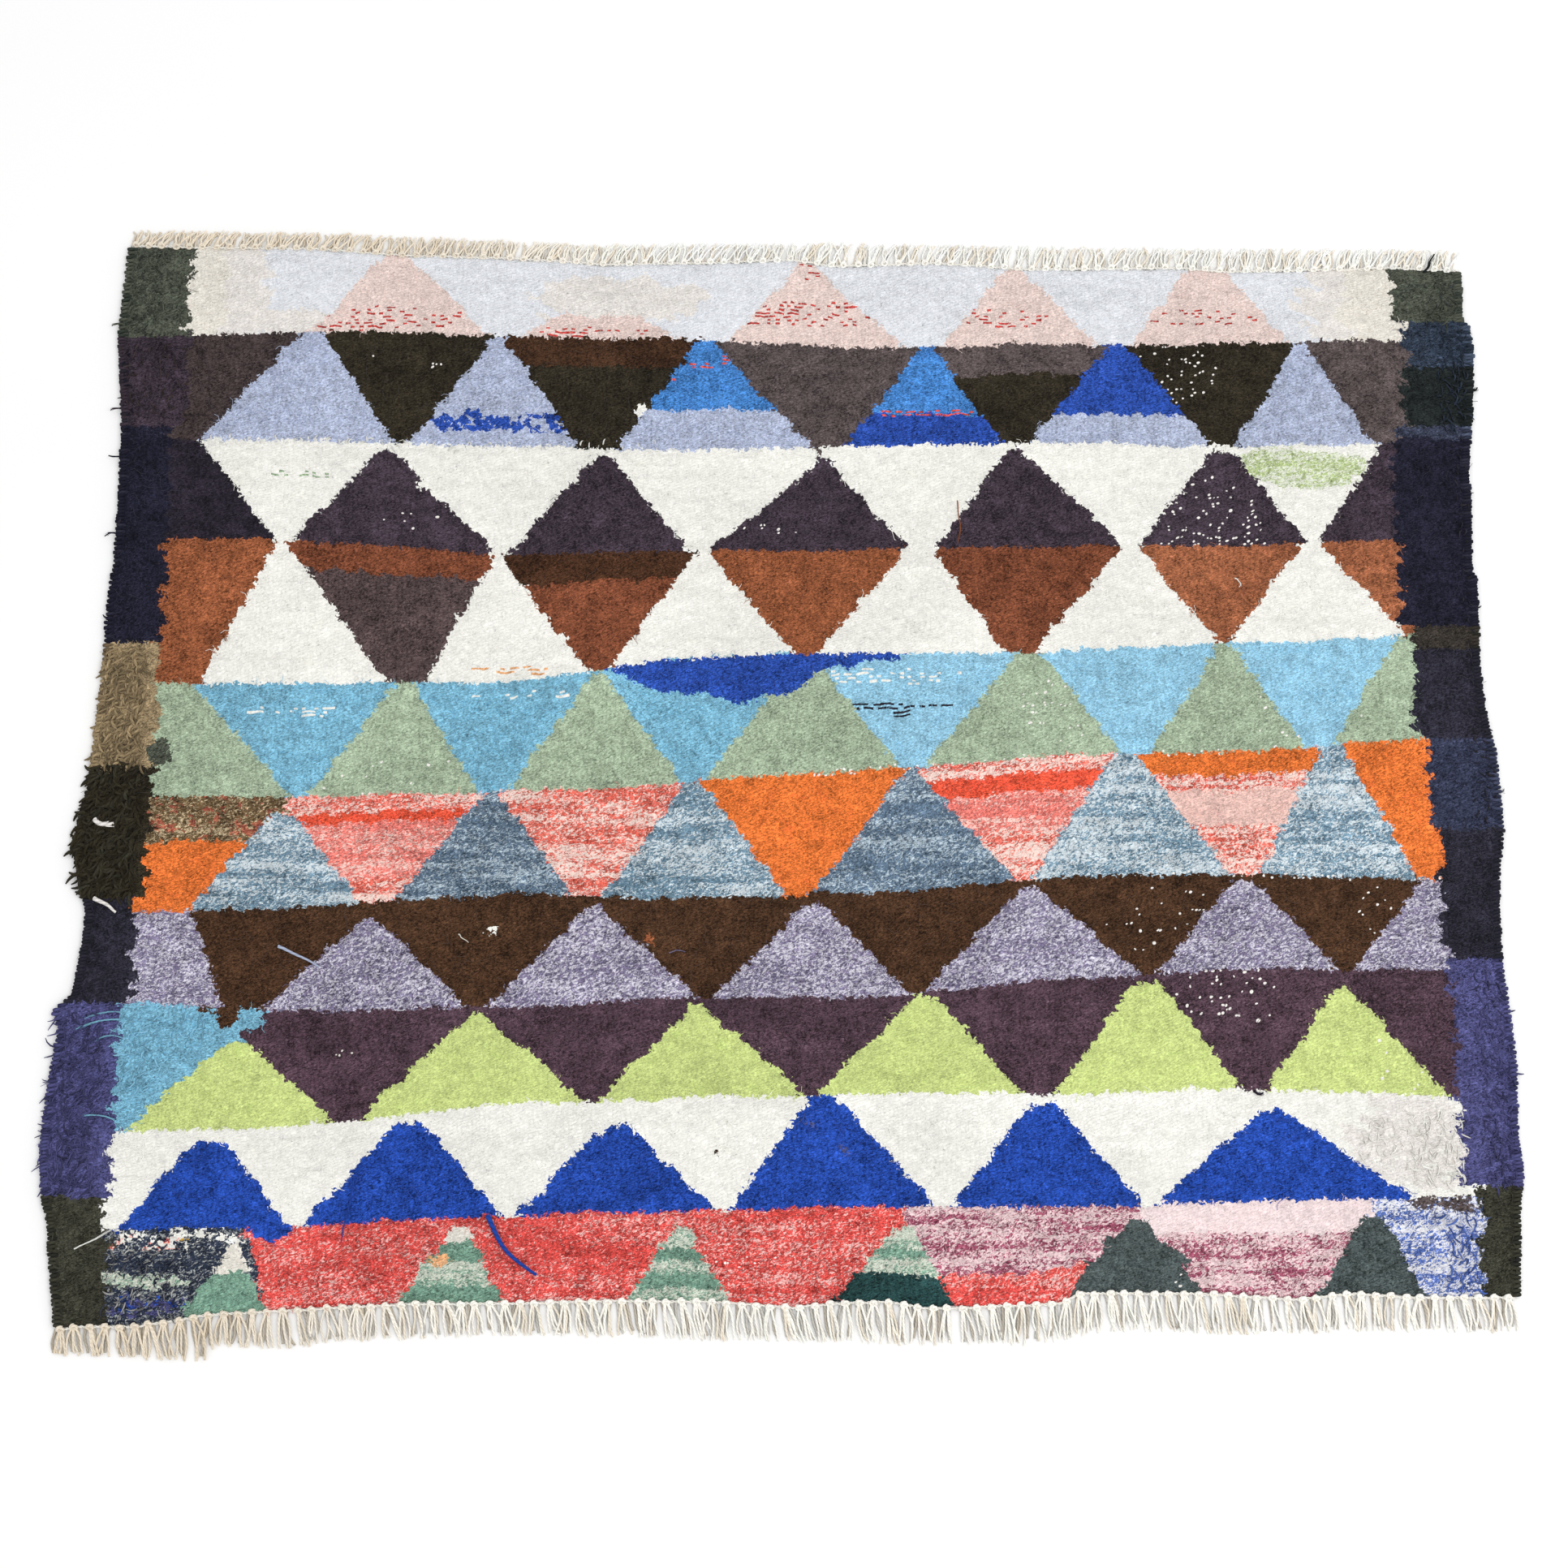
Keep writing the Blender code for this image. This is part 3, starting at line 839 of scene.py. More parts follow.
def cell_colours(context, edges):
    """The cells' colours by attribute, how their corners join, which side of a join they are on,
    and their yarns. The alpha of yarn is how strongly the streak shows, or DOT or DASH, and the
    alpha of streak is its share. The other two attributes are the same for the yarn beside."""
    pick, warp = np.mgrid[0:PICKS, 0:WARPS]
    seed = context.scene.rug_weave.seed
    x, y, yarn, over, dash = cell_yarns(seed, edges)
    colours = context.scene.rug_yarns
    ground = np.array([tuple(getattr(colours, f"{name}_ground")) for name in YARN_NAMES])
    fleck = np.array([tuple(getattr(colours, f"{name}_fleck")) for name in YARN_NAMES])
    shares = np.array([YARNS[name].share for name in YARN_NAMES])
    streaks = np.array([YARNS[name].streak for name in YARN_NAMES])

    pull = drift(x, y, 46.0, 5.0, seed + 31) * 0.5 + drift(x, y, 150.0, 9.0, seed + 32) * 0.5
    tone = 1.0 + 0.03 * bell(warp, pick, seed + 33) + 0.05 * pull
    tone = tone + 0.05 * drift(x, y, 70.0, 50.0, seed + 34)
    depth = 1.0 - ground.mean(-1)[yarn]
    clouds = 0.6 * drift(x, y, 26.0, 20.0, seed + 35) + 0.4 * drift(x, y, 11.0, 10.0, seed + 36)
    tone = tone + 0.30 * depth ** 2 * clouds
    banding = np.where(yarn == NUMBER["heather"], 0.2, 0.75)
    share = np.clip(shares[yarn] * (1.0 + banding * pull), 0.0, 1.0)
    marks = over >= 0
    strength = np.where(marks, np.where(dash, DASH, DOT), streaks[yarn])
    tone = tone[..., None]
    other = np.where(marks[..., None], ground[np.maximum(over, 0)], fleck[yarn] * tone)
    beside, corners = joins(yarn)
    layers = {
        "yarn": (ground[yarn] * tone, strength),
        "streak": (other, share),
        "yarn_beside": (ground[beside] * tone, streaks[beside]),
        "streak_beside": (fleck[beside] * tone, shares[beside]),
    }
    layers = {
        name: np.concatenate((np.clip(colour, 0.0, 1.0), alpha[..., None]), -1)
        for name, (colour, alpha) in layers.items()
    }
    side = np.where(yarn > beside, 1.0, -1.0)
    return layers, corners, side, yarn


# ------------------
# Node trees.

FLOAT = "NodeSocketFloat"
VECTOR = "NodeSocketVector"
INTEGER = "NodeSocketInt"
GEOMETRY = "NodeSocketGeometry"
MATERIAL = "NodeSocketMaterial"


class Graph:
    """Short ways to add nodes to a tree. A value is a socket to link or a plain number."""

    def __init__(self, tree):
        self.tree = tree

    def add(self, kind, **settings):
        """A new node with these settings."""
        made = self.tree.nodes.new(kind)
        for name, value in settings.items():
            setattr(made, name, value)
        return made

    def feed(self, socket, value):
        """Links or sets one input."""
        if isinstance(value, bpy.types.NodeSocket):
            self.tree.links.new(value, socket)
        else:
            socket.default_value = value

    def fed(self, kind, values, **settings):
        """A new node with these settings and with its inputs fed by name or number."""
        made = self.add(kind, **settings)
        for key, value in values.items():
            self.feed(made.inputs[key], value)
        return made.outputs

    def math(self, operation, *values):
        return self.fed("ShaderNodeMath", dict(enumerate(values)), operation=operation)[0]

    def times(self, first, second):
        return self.math("MULTIPLY", first, second)

    def times_plus(self, first, second, third):
        return self.math("MULTIPLY_ADD", first, second, third)

    def minus(self, first, second):
        return self.math("SUBTRACT", first, second)

    def ramp(self, value, low, high, start=0.0, end=1.0, kind="SMOOTHSTEP"):
        """value from low to high as start to end."""
        values = {
            "Value": value, "From Min": low, "From Max": high, "To Min": start, "To Max": end,
        }
        return self.fed("ShaderNodeMapRange", values, interpolation_type=kind)["Result"]

    def line(self, value, low, high, start, end):
        """value from low to high as start to end, in a straight line."""
        return self.ramp(value, low, high, start, end, "LINEAR")

    def blend(self, share, first, second, mode="MIX"):
        """Two colours mixed by a share."""
        values = {0: share, 6: first, 7: second}
        return self.fed("ShaderNodeMix", values, data_type="RGBA", blend_type=mode)[2]

    def number_blend(self, share, first, second):
        """Two numbers mixed by a share."""
        return self.fed("ShaderNodeMix", {0: share, 2: first, 3: second}, data_type="FLOAT")[0]

    def tone(self, colour, amount):
        """A colour times a number."""
        return self.fed("ShaderNodeVectorMath", {0: colour, "Scale": amount}, operation="SCALE")[0]

    def lit(self, colour, gain, added):
        """A colour times a number, with a little of another added."""
        brighter = self.blend(1.0, colour, (gain, gain, gain, 1.0), "MULTIPLY")
        return self.blend(1.0, brighter, (*added, 1.0), "ADD")

    def split(self, vector):
        return self.fed("ShaderNodeSeparateXYZ", {0: vector})

    def join(self, x, y, z=0.0):
        return self.fed("ShaderNodeCombineXYZ", {0: x, 1: y, 2: z})[0]

    def noise(self, vector, scale, detail=2.0, roughness=0.5, distortion=0.0):
        values = {
            "Vector": vector, "Scale": scale, "Detail": detail, "Roughness": roughness,
            "Distortion": distortion,
        }
        return self.fed("ShaderNodeTexNoise", values)["Fac"]

    def attribute(self, name):
        return self.add("ShaderNodeAttribute", attribute_name=name).outputs

    def position(self):
        """Places in the object's own metres."""
        return self.add("ShaderNodeTexCoord").outputs["Object"]

    def group(self, name, **values):
        """A shader group, built the first time and placed with these inputs."""
        tree = bpy.data.node_groups.get(name) or SHADER_GROUPS[name](name)
        return self.fed("ShaderNodeGroup", values, node_tree=tree)

    def stored(self, geometry, name, kind, value):
        """Geometry with a value on each point as a named attribute."""
        values = {"Geometry": geometry, "Name": name, "Value": value}
        node = "GeometryNodeStoreNamedAttribute"
        return self.fed(node, values, data_type=kind, domain="POINT")["Geometry"]

    def named(self, name):
        """A named attribute that holds one number for each point."""
        values = {"Name": name}
        return self.fed("GeometryNodeInputNamedAttribute", values, data_type="FLOAT")["Attribute"]


def new_tree(name, kind, inputs, outputs):
    """A new node tree with named sockets, its graph, its input node's and output node's sockets."""
    tree = bpy.data.node_groups.new(name, kind)
    for label, (socket_type, default) in inputs.items():
        socket = tree.interface.new_socket(label, in_out="INPUT", socket_type=socket_type)
        if default is not None:
            socket.default_value = default
    for label, socket_type in outputs.items():
        tree.interface.new_socket(label, in_out="OUTPUT", socket_type=socket_type)
    graph = Graph(tree)
    return graph, graph.add("NodeGroupInput").outputs, graph.add("NodeGroupOutput").inputs


def shader_group(name, inputs, outputs):
    """A new shader group that puts out numbers."""
    return new_tree(name, "ShaderNodeTree", inputs, dict.fromkeys(outputs, FLOAT))


# ------------------
# Shader groups.


def weft_grain_group(name):
    """One rounded grain of weft over each warp, set like bricks down the columns, with fibres
    running along it, and the dots and dashes that a cell may hold."""
    graph, given, put = shader_group(
        name, {"Weave": (VECTOR, None), "Rows": (FLOAT, 1.25), "Slant": (FLOAT, 0.30)},
        ("Height", "Gap", "Fibre", "Speck", "Dot", "Dash"),
    )
    u, v, _ = graph.split(given["Weave"])
    wander = graph.noise(given["Weave"], 0.9, 2.0)
    bent = graph.times_plus(wander, 0.5, graph.minus(u, 0.25))
    column = graph.math("FLOOR", bent)
    down = graph.math("FRACT", bent)
    stagger = graph.times(graph.math("FLOORED_MODULO", column, 2.0), 0.5)
    rows = graph.times_plus(v, given["Rows"], stagger)
    rows = graph.times_plus(down, given["Slant"], rows)
    rows = graph.times_plus(wander, 0.9, rows)
    row = graph.math("FLOOR", rows)
    across = graph.math("FRACT", rows)
    across = graph.math("SINE", graph.times(across, math.pi))
    round_across = graph.math("POWER", across, 0.7)
    down = graph.math("SINE", graph.times(down, math.pi))
    round_down = graph.math("POWER", down, 0.6)
    round_across = graph.times_plus(round_across, 0.7, 0.3)
    rise = graph.times(graph.times_plus(round_down, 0.5, 0.5), round_across)
    graph.feed(put["Height"], rise)
    # This output is 1 in the low gaps between grains, where the colour is darkened as painted shade.
    graph.feed(put["Gap"], graph.ramp(rise, 0.05, 0.55, 1.0, 0.0))
    leaning = graph.times_plus(u, given["Slant"], v)
    own = graph.times_plus(column, 0.23, graph.times(row, 0.31))
    place_on_grain = graph.join(u, graph.times(leaning, 3.4), own)
    fibre = graph.noise(place_on_grain, 1.5, 3.0, 0.62, 0.4)
    graph.feed(put["Fibre"], graph.ramp(fibre, 0.36, 0.64))
    place_on_grain = graph.join(u, graph.times(leaning, 1.35), own)
    graph.feed(put["Speck"], graph.noise(place_on_grain, 1.15, 3.0, 0.65, 0.9))
    cell = graph.join(graph.math("FLOOR", u), graph.math("FLOOR", v))
    drawn = graph.fed("ShaderNodeTexWhiteNoise", {"Vector": cell}, noise_dimensions="2D")
    aside, along_it, size = graph.split(drawn["Color"])
    in_u, in_v = graph.math("FRACT", u), graph.math("FRACT", v)
    off_u = graph.minus(in_u, graph.times_plus(aside, 0.5, 0.25))
    off_v = graph.minus(in_v, graph.times_plus(along_it, 0.4, 0.3))
    off_u = graph.times_plus(off_v, 0.2, off_u)
    squared = graph.times_plus(off_u, off_u, graph.times(off_v, off_v))
    reach = graph.times_plus(size, 0.18, 0.26)
    inner = graph.minus(reach, 0.12)
    graph.feed(put["Dot"], graph.ramp(graph.math("SQRT", squared), inner, reach, 1.0, 0.0))
    off = graph.math("ABSOLUTE", graph.minus(in_v, 0.5))
    off = graph.times_plus(fibre, 0.35, graph.minus(off, 0.17))
    graph.feed(put["Dash"], graph.ramp(off, 0.20, 0.36, 1.0, 0.0))
    return graph.tree


def stray_fibre_group(name):
    """Thin curly lines, broken into short lengths, like loose wool fibres on a surface."""
    graph, given, put = shader_group(
        name,
        {
            "Position": (VECTOR, None), "Size": (FLOAT, 60.0), "Width": (FLOAT, 0.02),
            "Cover": (FLOAT, 0.5),
        },
        ("Line",),
    )
    winding = graph.noise(given["Position"], given["Size"], 1.5, 0.55, 1.2)
    off = graph.math("ABSOLUTE", graph.minus(winding, 0.5))
    thin = graph.ramp(off, 0.0, given["Width"], 1.0, 0.0)
    broken = graph.noise(given["Position"], graph.times(given["Size"], 1.7), 1.0)
    cut = graph.minus(1.0, given["Cover"])
    kept = graph.ramp(broken, graph.minus(cut, 0.04), graph.math("ADD", cut, 0.04))
    graph.feed(put["Line"], graph.times(thin, kept))
    return graph.tree


def fuzz_group(name):
    """Fine uneven wool nap: a height and a light-dark share."""
    graph, given, put = shader_group(
        name, {"Position": (VECTOR, None), "Size": (FLOAT, 900.0)}, ("Height", "Shade")
    )
    position, size = given["Position"], given["Size"]
    graph.feed(put["Height"], graph.noise(position, size, 3.0, 0.65, 0.3))
    clumps = graph.noise(position, graph.times(size, 0.42), 3.0, 0.6, 0.8)
    broad = graph.noise(position, graph.times(size, 0.10), 2.0, 0.5)
    broad = graph.times(broad, 0.28)
    graph.feed(put["Shade"], graph.times_plus(clumps, 0.72, broad))
    return graph.tree


def soft_join_group(name):
    """1 where the yarn beside a cell bulges into it, with rounded bumps and stray hairs. Join
    holds the share of a corner that is the cell's own yarn, and the side of the join."""
    graph, given, put = shader_group(
        name,
        {
            "Position": (VECTOR, None), "Join": (VECTOR, None), "Bump": (FLOAT, 1.9),
            "Hair": (FLOAT, 0.5),
        },
        ("Beside",),
    )
    share, side, _ = graph.split(given["Join"])
    bumps = graph.minus(graph.noise(given["Position"], 230.0, 2.0, 0.5, 0.6), 0.5)
    hairs = graph.minus(graph.noise(given["Position"], 900.0, 2.0, 0.6, 1.5), 0.5)
    pushed = graph.times(bumps, given["Bump"])
    pushed = graph.times_plus(hairs, given["Hair"], pushed)
    pushed = graph.math("MINIMUM", graph.math("MAXIMUM", pushed, -0.42), 0.42)
    level = graph.times_plus(pushed, side, share)
    graph.feed(put["Beside"], graph.ramp(level, 0.47, 0.53, 1.0, 0.0))
    return graph.tree


def age_group(name):
    """Where the dye has faded and where dirt has settled, in large soft patches."""
    graph, given, put = shader_group(name, {"Position": (VECTOR, None)}, ("Fade", "Dirt"))
    broad = graph.noise(given["Position"], 5.0, 3.0, 0.5)
    small = graph.noise(given["Position"], 42.0, 3.0, 0.6, 0.6)
    graph.feed(put["Fade"], graph.ramp(broad, 0.35, 0.68))
    graph.feed(put["Dirt"], graph.ramp(small, 0.52, 0.78))
    return graph.tree


def twisted_ply_group(name):
    """The ridges of a twisted yarn, from the length along it and the direction round it."""
    graph, given, put = shader_group(
        name, {"Along": (FLOAT, None), "Turn": (VECTOR, None), "Twist": (FLOAT, 700.0)},
        ("Height", "Groove"),
    )
    cosine, sine, _ = graph.split(given["Turn"])
    round_it = graph.times(graph.math("ARCTAN2", sine, cosine), 2.0)
    wave = graph.times_plus(given["Along"], given["Twist"], round_it)
    wave = graph.math("SINE", wave)
    graph.feed(put["Height"], graph.ramp(wave, -1.0, 0.6))
    # The second output is 1 in the grooves between the plies, which get painted shade.
    graph.feed(put["Groove"], graph.ramp(wave, -1.0, -0.2, 1.0, 0.0))
    return graph.tree


SHADER_GROUPS = {
    "weft grain": weft_grain_group, "stray fibre": stray_fibre_group, "wool fuzz": fuzz_group,
    "age": age_group, "twisted ply": twisted_ply_group, "soft join": soft_join_group,
}

# ------------------
# Materials.


def new_material(name):
    """A new material, its graph and its shader."""
    material = bpy.data.materials.new(name)
    material.use_nodes = True
    shader = material.node_tree.nodes["Principled BSDF"]
    shader.inputs["Specular IOR Level"].default_value = 0.06
    shader.inputs["Sheen Weight"].default_value = 0.02
    shader.inputs["Sheen Roughness"].default_value = 0.6
    return material, Graph(material.node_tree), shader


def finish_shader(graph, shader, colour, roughness, height, distance):
    """Colour, roughness and bump on a shader. distance is the bump's depth."""
    bump = graph.fed("ShaderNodeBump", {"Strength": 1.0, "Distance": distance, "Height": height})
    graph.feed(shader.inputs["Base Color"], colour)
    graph.feed(shader.inputs["Roughness"], roughness)
    graph.feed(shader.inputs["Normal"], bump["Normal"])


def woven_wool(settings):
    """The cloth: every grain in its yarn's colour, with fibres, fuzz, gaps and age."""
    found = bpy.data.materials.get("woven wool")
    if found:
        return found
    material, graph, shader = new_material("woven wool")
    position = graph.position()
    weave = graph.add("ShaderNodeUVMap", uv_map="weave").outputs["UV"]
    grain = graph.group("weft grain", Weave=weave)
    fuzz = graph.group("wool fuzz", Position=position, Size=820.0)
    age = graph.group("age", Position=position)
    join = graph.attribute("join")["Vector"]
    beside = graph.group("soft join", Position=position, Join=join)["Beside"]
    long_line, short_line, dark_line = (
        graph.group("stray fibre", Position=position, Size=size, Width=width, Cover=cover)["Line"]
        for size, width, cover in ((70.0, 0.012, 0.42), (170.0, 0.03, 0.46), (128.0, 0.026, 0.44))
    )

    yarn, streak = graph.attribute("yarn"), graph.attribute("streak")
    near_yarn, near_streak = graph.attribute("yarn_beside"), graph.attribute("streak_beside")
    main = graph.blend(beside, yarn["Color"], near_yarn["Color"])
    other = graph.blend(beside, streak["Color"], near_streak["Color"])
    strength = graph.number_blend(beside, yarn["Alpha"], near_yarn["Alpha"])
    share = graph.number_blend(beside, streak["Alpha"], near_streak["Alpha"])
    level = graph.times_plus(share, -0.42, 0.70)
    above = graph.math("ADD", level, 0.05)
    speck = graph.ramp(grain["Speck"], graph.minus(level, 0.05), above)
    dashed = graph.math("GREATER_THAN", strength, DASH - 0.5)
    dotted = graph.minus(graph.math("GREATER_THAN", strength, DOT - 0.5), dashed)
    plain = graph.minus(1.0, graph.math("ADD", dashed, dotted))
    mixed = graph.times(graph.times(speck, strength), plain)
    mixed = graph.times_plus(dotted, grain["Dot"], mixed)
    mixed = graph.times_plus(dashed, grain["Dash"], mixed)
    colour = graph.blend(mixed, main, other)
    light = graph.lit(colour, 1.30, (0.012, 0.012, 0.014))
    long_line = graph.times(long_line, 0.8)
    short_line = graph.times(short_line, 0.6)
    lines = graph.math("MAXIMUM", long_line, short_line)
    colour = graph.blend(lines, colour, light)
    dark = graph.blend(1.0, colour, (0.66, 0.66, 0.66, 1.0), "MULTIPLY")
    colour = graph.blend(graph.times(dark_line, 0.75), colour, dark)
    # The shade gathers fibre streaks, fuzz, age, and painted shade in the gaps between grains, made
    # stronger on darker colours.
    shade = graph.line(grain["Fibre"], 0.0, 1.0, 0.88, 1.12)
    for value, low, high, start, end in (
        (fuzz["Shade"], 0.36, 0.64, 0.82, 1.18),
        (grain["Gap"], 0.0, 1.0, 1.04, 0.74),
        (age["Fade"], 0.0, 1.0, 0.98, 1.03),
        (age["Dirt"], 0.0, 1.0, 1.0, 0.93),
    ):
        shade = graph.times(shade, graph.line(value, low, high, start, end))
    grey = graph.fed("ShaderNodeRGBToBW", {"Color": colour})["Val"]
    contrast = graph.line(grey, 0.0, 0.85, 4.2, 0.65)
    shade = graph.times_plus(graph.minus(shade, 1.0), contrast, 1.0)
    colour = graph.tone(colour, graph.math("MAXIMUM", shade, 0.25))

    height = graph.times_plus(grain["Fibre"], 0.28, grain["Height"])
    height = graph.times_plus(lines, 0.35, height)
    height = graph.times_plus(fuzz["Height"], 0.5, height)
    roughness = graph.line(grain["Fibre"], 0.0, 1.0, 0.98, 0.86)
    finish_shader(graph, shader, colour, roughness, height, settings.relief)
    return material


# A twisted yarn: how dark the painted shade in its grooves is, its twist in radians a metre, how
# much its stray fibres lighten it, and the depth of its ridges.
Twist = namedtuple("Twist", "groove twist fleece depth")

TWISTS = {
    "selvedge wool": Twist(0.72, 900.0, 0.18, 0.0005),
    "cotton twine": Twist(0.84, 1500.0, 0.08, 0.0003),
    "cotton warp": Twist(0.84, 1300.0, 0.06, 0.0003),
}


def spun_yarn(name):
    """A twisted yarn in its own tint: selvedges, cords, fringes, tails and tufts."""
    found = bpy.data.materials.get(name)
    if found:
        return found
    own = TWISTS[name]
    material, graph, shader = new_material(name)
    position = graph.position()
    along_it, round_it = graph.attribute("along")["Fac"], graph.attribute("turn")["Vector"]
    ply = graph.group("twisted ply", Along=along_it, Turn=round_it, Twist=own.twist)
    fuzz = graph.group("wool fuzz", Position=position, Size=1100.0)
    stray = graph.group("stray fibre", Position=position, Size=190.0, Width=0.03, Cover=0.5)
    age = graph.group("age", Position=position)
    # Painted shade darkens the tint in the grooves between the plies.
    shade = graph.line(ply["Groove"], 0.0, 1.0, 1.04, own.groove)
    shade = graph.times(shade, graph.line(fuzz["Shade"], 0.3, 0.7, 0.92, 1.10))
    shade = graph.times(shade, graph.line(age["Dirt"], 0.0, 1.0, 1.0, 0.92))
    shade = graph.times_plus(stray["Line"], own.fleece, shade)
    colour = graph.tone(graph.attribute("tint")["Color"], shade)
    height = graph.times_plus(fuzz["Height"], 0.6, ply["Height"])
    roughness = graph.line(fuzz["Height"], 0.3, 0.7, 0.96, 0.84)
    finish_shader(graph, shader, colour, roughness, height, own.depth)
    return material


def loose_wool(settings):
    """Single fibres that stand off the cloth, a little lighter than the yarn under them."""
    found = bpy.data.materials.get("loose wool")
    if found:
        return found
    material, graph, shader = new_material("loose wool")
    fuzz = graph.group("wool fuzz", Position=graph.position(), Size=1500.0)
    colour = graph.lit(graph.attribute("yarn")["Color"], 1.18, (0.03, 0.03, 0.033))
    colour = graph.tone(colour, graph.line(fuzz["Shade"], 0.3, 0.7, 0.85, 1.12))
    roughness = graph.line(fuzz["Height"], 0.3, 0.7, 0.95, 0.8)
    finish_shader(graph, shader, colour, roughness, fuzz["Height"], settings.fibre_radius * 0.5)
    return material


# ------------------
# Geometry Nodes.


def geometry_tree(name, inputs, output):
    """A new tree for a modifier, its graph, its input node's and output node's sockets."""
    return new_tree(name, "GeometryNodeTree", inputs, {output: GEOMETRY})


def swept(graph, curve, sides, radius, is_yarn=True):
    """A round profile swept along a curve, closed at both ends. A yarn is as thick at each point as
    its curve's radius says, and keeps the direction round it as turn."""
    values = {"Resolution": sides, "Radius": radius}
    profile = graph.fed("GeometryNodeCurvePrimitiveCircle", values)["Curve"]
    values = {"Curve": curve, "Fill Caps": True}
    if is_yarn:
        on_circle = graph.add("GeometryNodeInputPosition").outputs[0]
        way = graph.fed("ShaderNodeVectorMath", {0: on_circle}, operation="NORMALIZE")[0]
        profile = graph.stored(profile, "turn", "FLOAT_VECTOR", way)
        values["Scale"] = graph.add("GeometryNodeInputRadius").outputs[0]
    values["Profile Curve"] = profile
    return graph.fed("GeometryNodeCurveToMesh", values)["Mesh"]


def finish_tree(graph, geometry, material, put):
    """Smooth shading, real geometry and its material, then out."""
    for kind in ("GeometryNodeSetShadeSmooth", "GeometryNodeRealizeInstances"):
        geometry = graph.fed(kind, {"Geometry": geometry})["Geometry"]
    values = {"Geometry": geometry, "Material": material}
    graph.feed(put[0], graph.fed("GeometryNodeSetMaterial", values)["Geometry"])


def yarn_tree():
    """Sweeps a round yarn along every guide, as thick at each point as the guide says."""
    name = "yarn along guides"
    found = bpy.data.node_groups.get(name)
    if found:
        return found
    graph, given, put = geometry_tree(
        name,
        {
            "Guides": (GEOMETRY, None), "Radius": (FLOAT, 0.001), "Sides": (INTEGER, 6),
            "Material": (MATERIAL, None),
        },
        "Yarn",
    )
    curve = graph.fed("GeometryNodeMeshToCurve", {0: given["Guides"]})[0]
    values = {"Curve": curve, "Radius": graph.named("thick")}
    curve = graph.fed("GeometryNodeSetCurveRadius", values)["Curve"]
    distance = graph.add("GeometryNodeSplineParameter").outputs["Length"]
    curve = graph.stored(curve, "along", "FLOAT", distance)
    mesh = swept(graph, curve, given["Sides"], given["Radius"])
    finish_tree(graph, mesh, given["Material"], put)
    return graph.tree


# One curved fibre of length 1, along X.
FIBRE = {
    "Resolution": 4, "Start": (-0.5, 0.0, 0.0), "Start Handle": (-0.2, 0.42, 0.05),
    "End Handle": (0.15, -0.3, 0.08), "End": (0.5, 0.12, 0.03),
}
FIBRE_TILT = {"Min": (-0.3, -0.14, 0.0), "Max": (0.3, 0.14, math.tau)}
FIBRE_SIZES = (0.45, 1.4)
FIBRE_SIDES = 3
FIBRE_LIFT = 0.0004
# Fibres stand only where the cloth's normal has at least this much of +Z.
FACE_UP = 0.6


def fibre_tree():
    """Scatters short curved fibres over the cloth's face, thickest where its nap is."""
    name = "loose fibres"
    found = bpy.data.node_groups.get(name)
    if found:
        return found
    graph, given, put = geometry_tree(
        name,
        {
            "Cloth": (GEOMETRY, None), "Density": (FLOAT, 3000.0), "Length": (FLOAT, 0.014),
            "Radius": (FLOAT, 0.0002), "Seed": (INTEGER, 0), "Material": (MATERIAL, None),
        },
        "Fibres",
    )
    _, _, facing = graph.split(graph.add("GeometryNodeInputNormal").outputs[0])
    density = graph.times(graph.named("nap"), given["Density"])
    density = graph.times(density, graph.math("GREATER_THAN", facing, FACE_UP))
    values = {"Mesh": given["Cloth"], "Density": density, "Seed": given["Seed"]}
    node = "GeometryNodeDistributePointsOnFaces"
    points = graph.fed(node, values, distribute_method="RANDOM")["Points"]

    fibre = graph.fed("GeometryNodeCurvePrimitiveBezierSegment", FIBRE)["Curve"]
    scale = graph.join(given["Length"], given["Length"], given["Length"])
    fibre = graph.fed("GeometryNodeTransform", {"Geometry": fibre, "Scale": scale})["Geometry"]
    hair = swept(graph, fibre, FIBRE_SIDES, given["Radius"], is_yarn=False)

    node = "FunctionNodeRandomValue"
    tilt = graph.fed(node, {**FIBRE_TILT, "Seed": given["Seed"]}, data_type="FLOAT_VECTOR")[0]
    values = {2: FIBRE_SIZES[0], 3: FIBRE_SIZES[1], "Seed": given["Seed"]}
    size = graph.fed(node, values, data_type="FLOAT")[1]
    values = {"Points": points, "Instance": hair, "Rotation": tilt, "Scale": size}
    placed = graph.fed("GeometryNodeInstanceOnPoints", values)["Instances"]
    values = {
        "Instances": placed, "Translation": (0.0, 0.0, FIBRE_LIFT), "Local Space": False,
    }
    lifted = graph.fed("GeometryNodeTranslateInstances", values)["Instances"]
    finish_tree(graph, lifted, given["Material"], put)
    return graph.tree


def through_nodes(source, tree, name, values):
    """source's mesh as the tree makes it: a plain mesh object of this name."""
    modifier = source.modifiers.new(tree.name, "NODES")
    modifier.node_group = tree
    for item in tree.interface.items_tree:
        if item.item_type == "SOCKET" and item.in_out == "INPUT" and item.name in values:
            modifier[item.identifier] = values[item.name]
    depsgraph = bpy.context.evaluated_depsgraph_get()
    mesh = bpy.data.meshes.new_from_object(
        source.evaluated_get(depsgraph), preserve_all_data_layers=True, depsgraph=depsgraph
    )
    mesh.name = name
    source.modifiers.remove(modifier)
    if not mesh.polygons:
        raise RuntimeError(f"{name} came out empty")
    return place(name, mesh)


def place(name, mesh):
    """An object for this mesh in the scene, at the origin."""
    made = bpy.data.objects.new(name, mesh)
    bpy.context.scene.collection.objects.link(made)
    return made


Guide = namedtuple("Guide", "points thick tint")
YARN_SIDES = 7
STRAND_SIDES = 6
TUFT_SIDES = 4


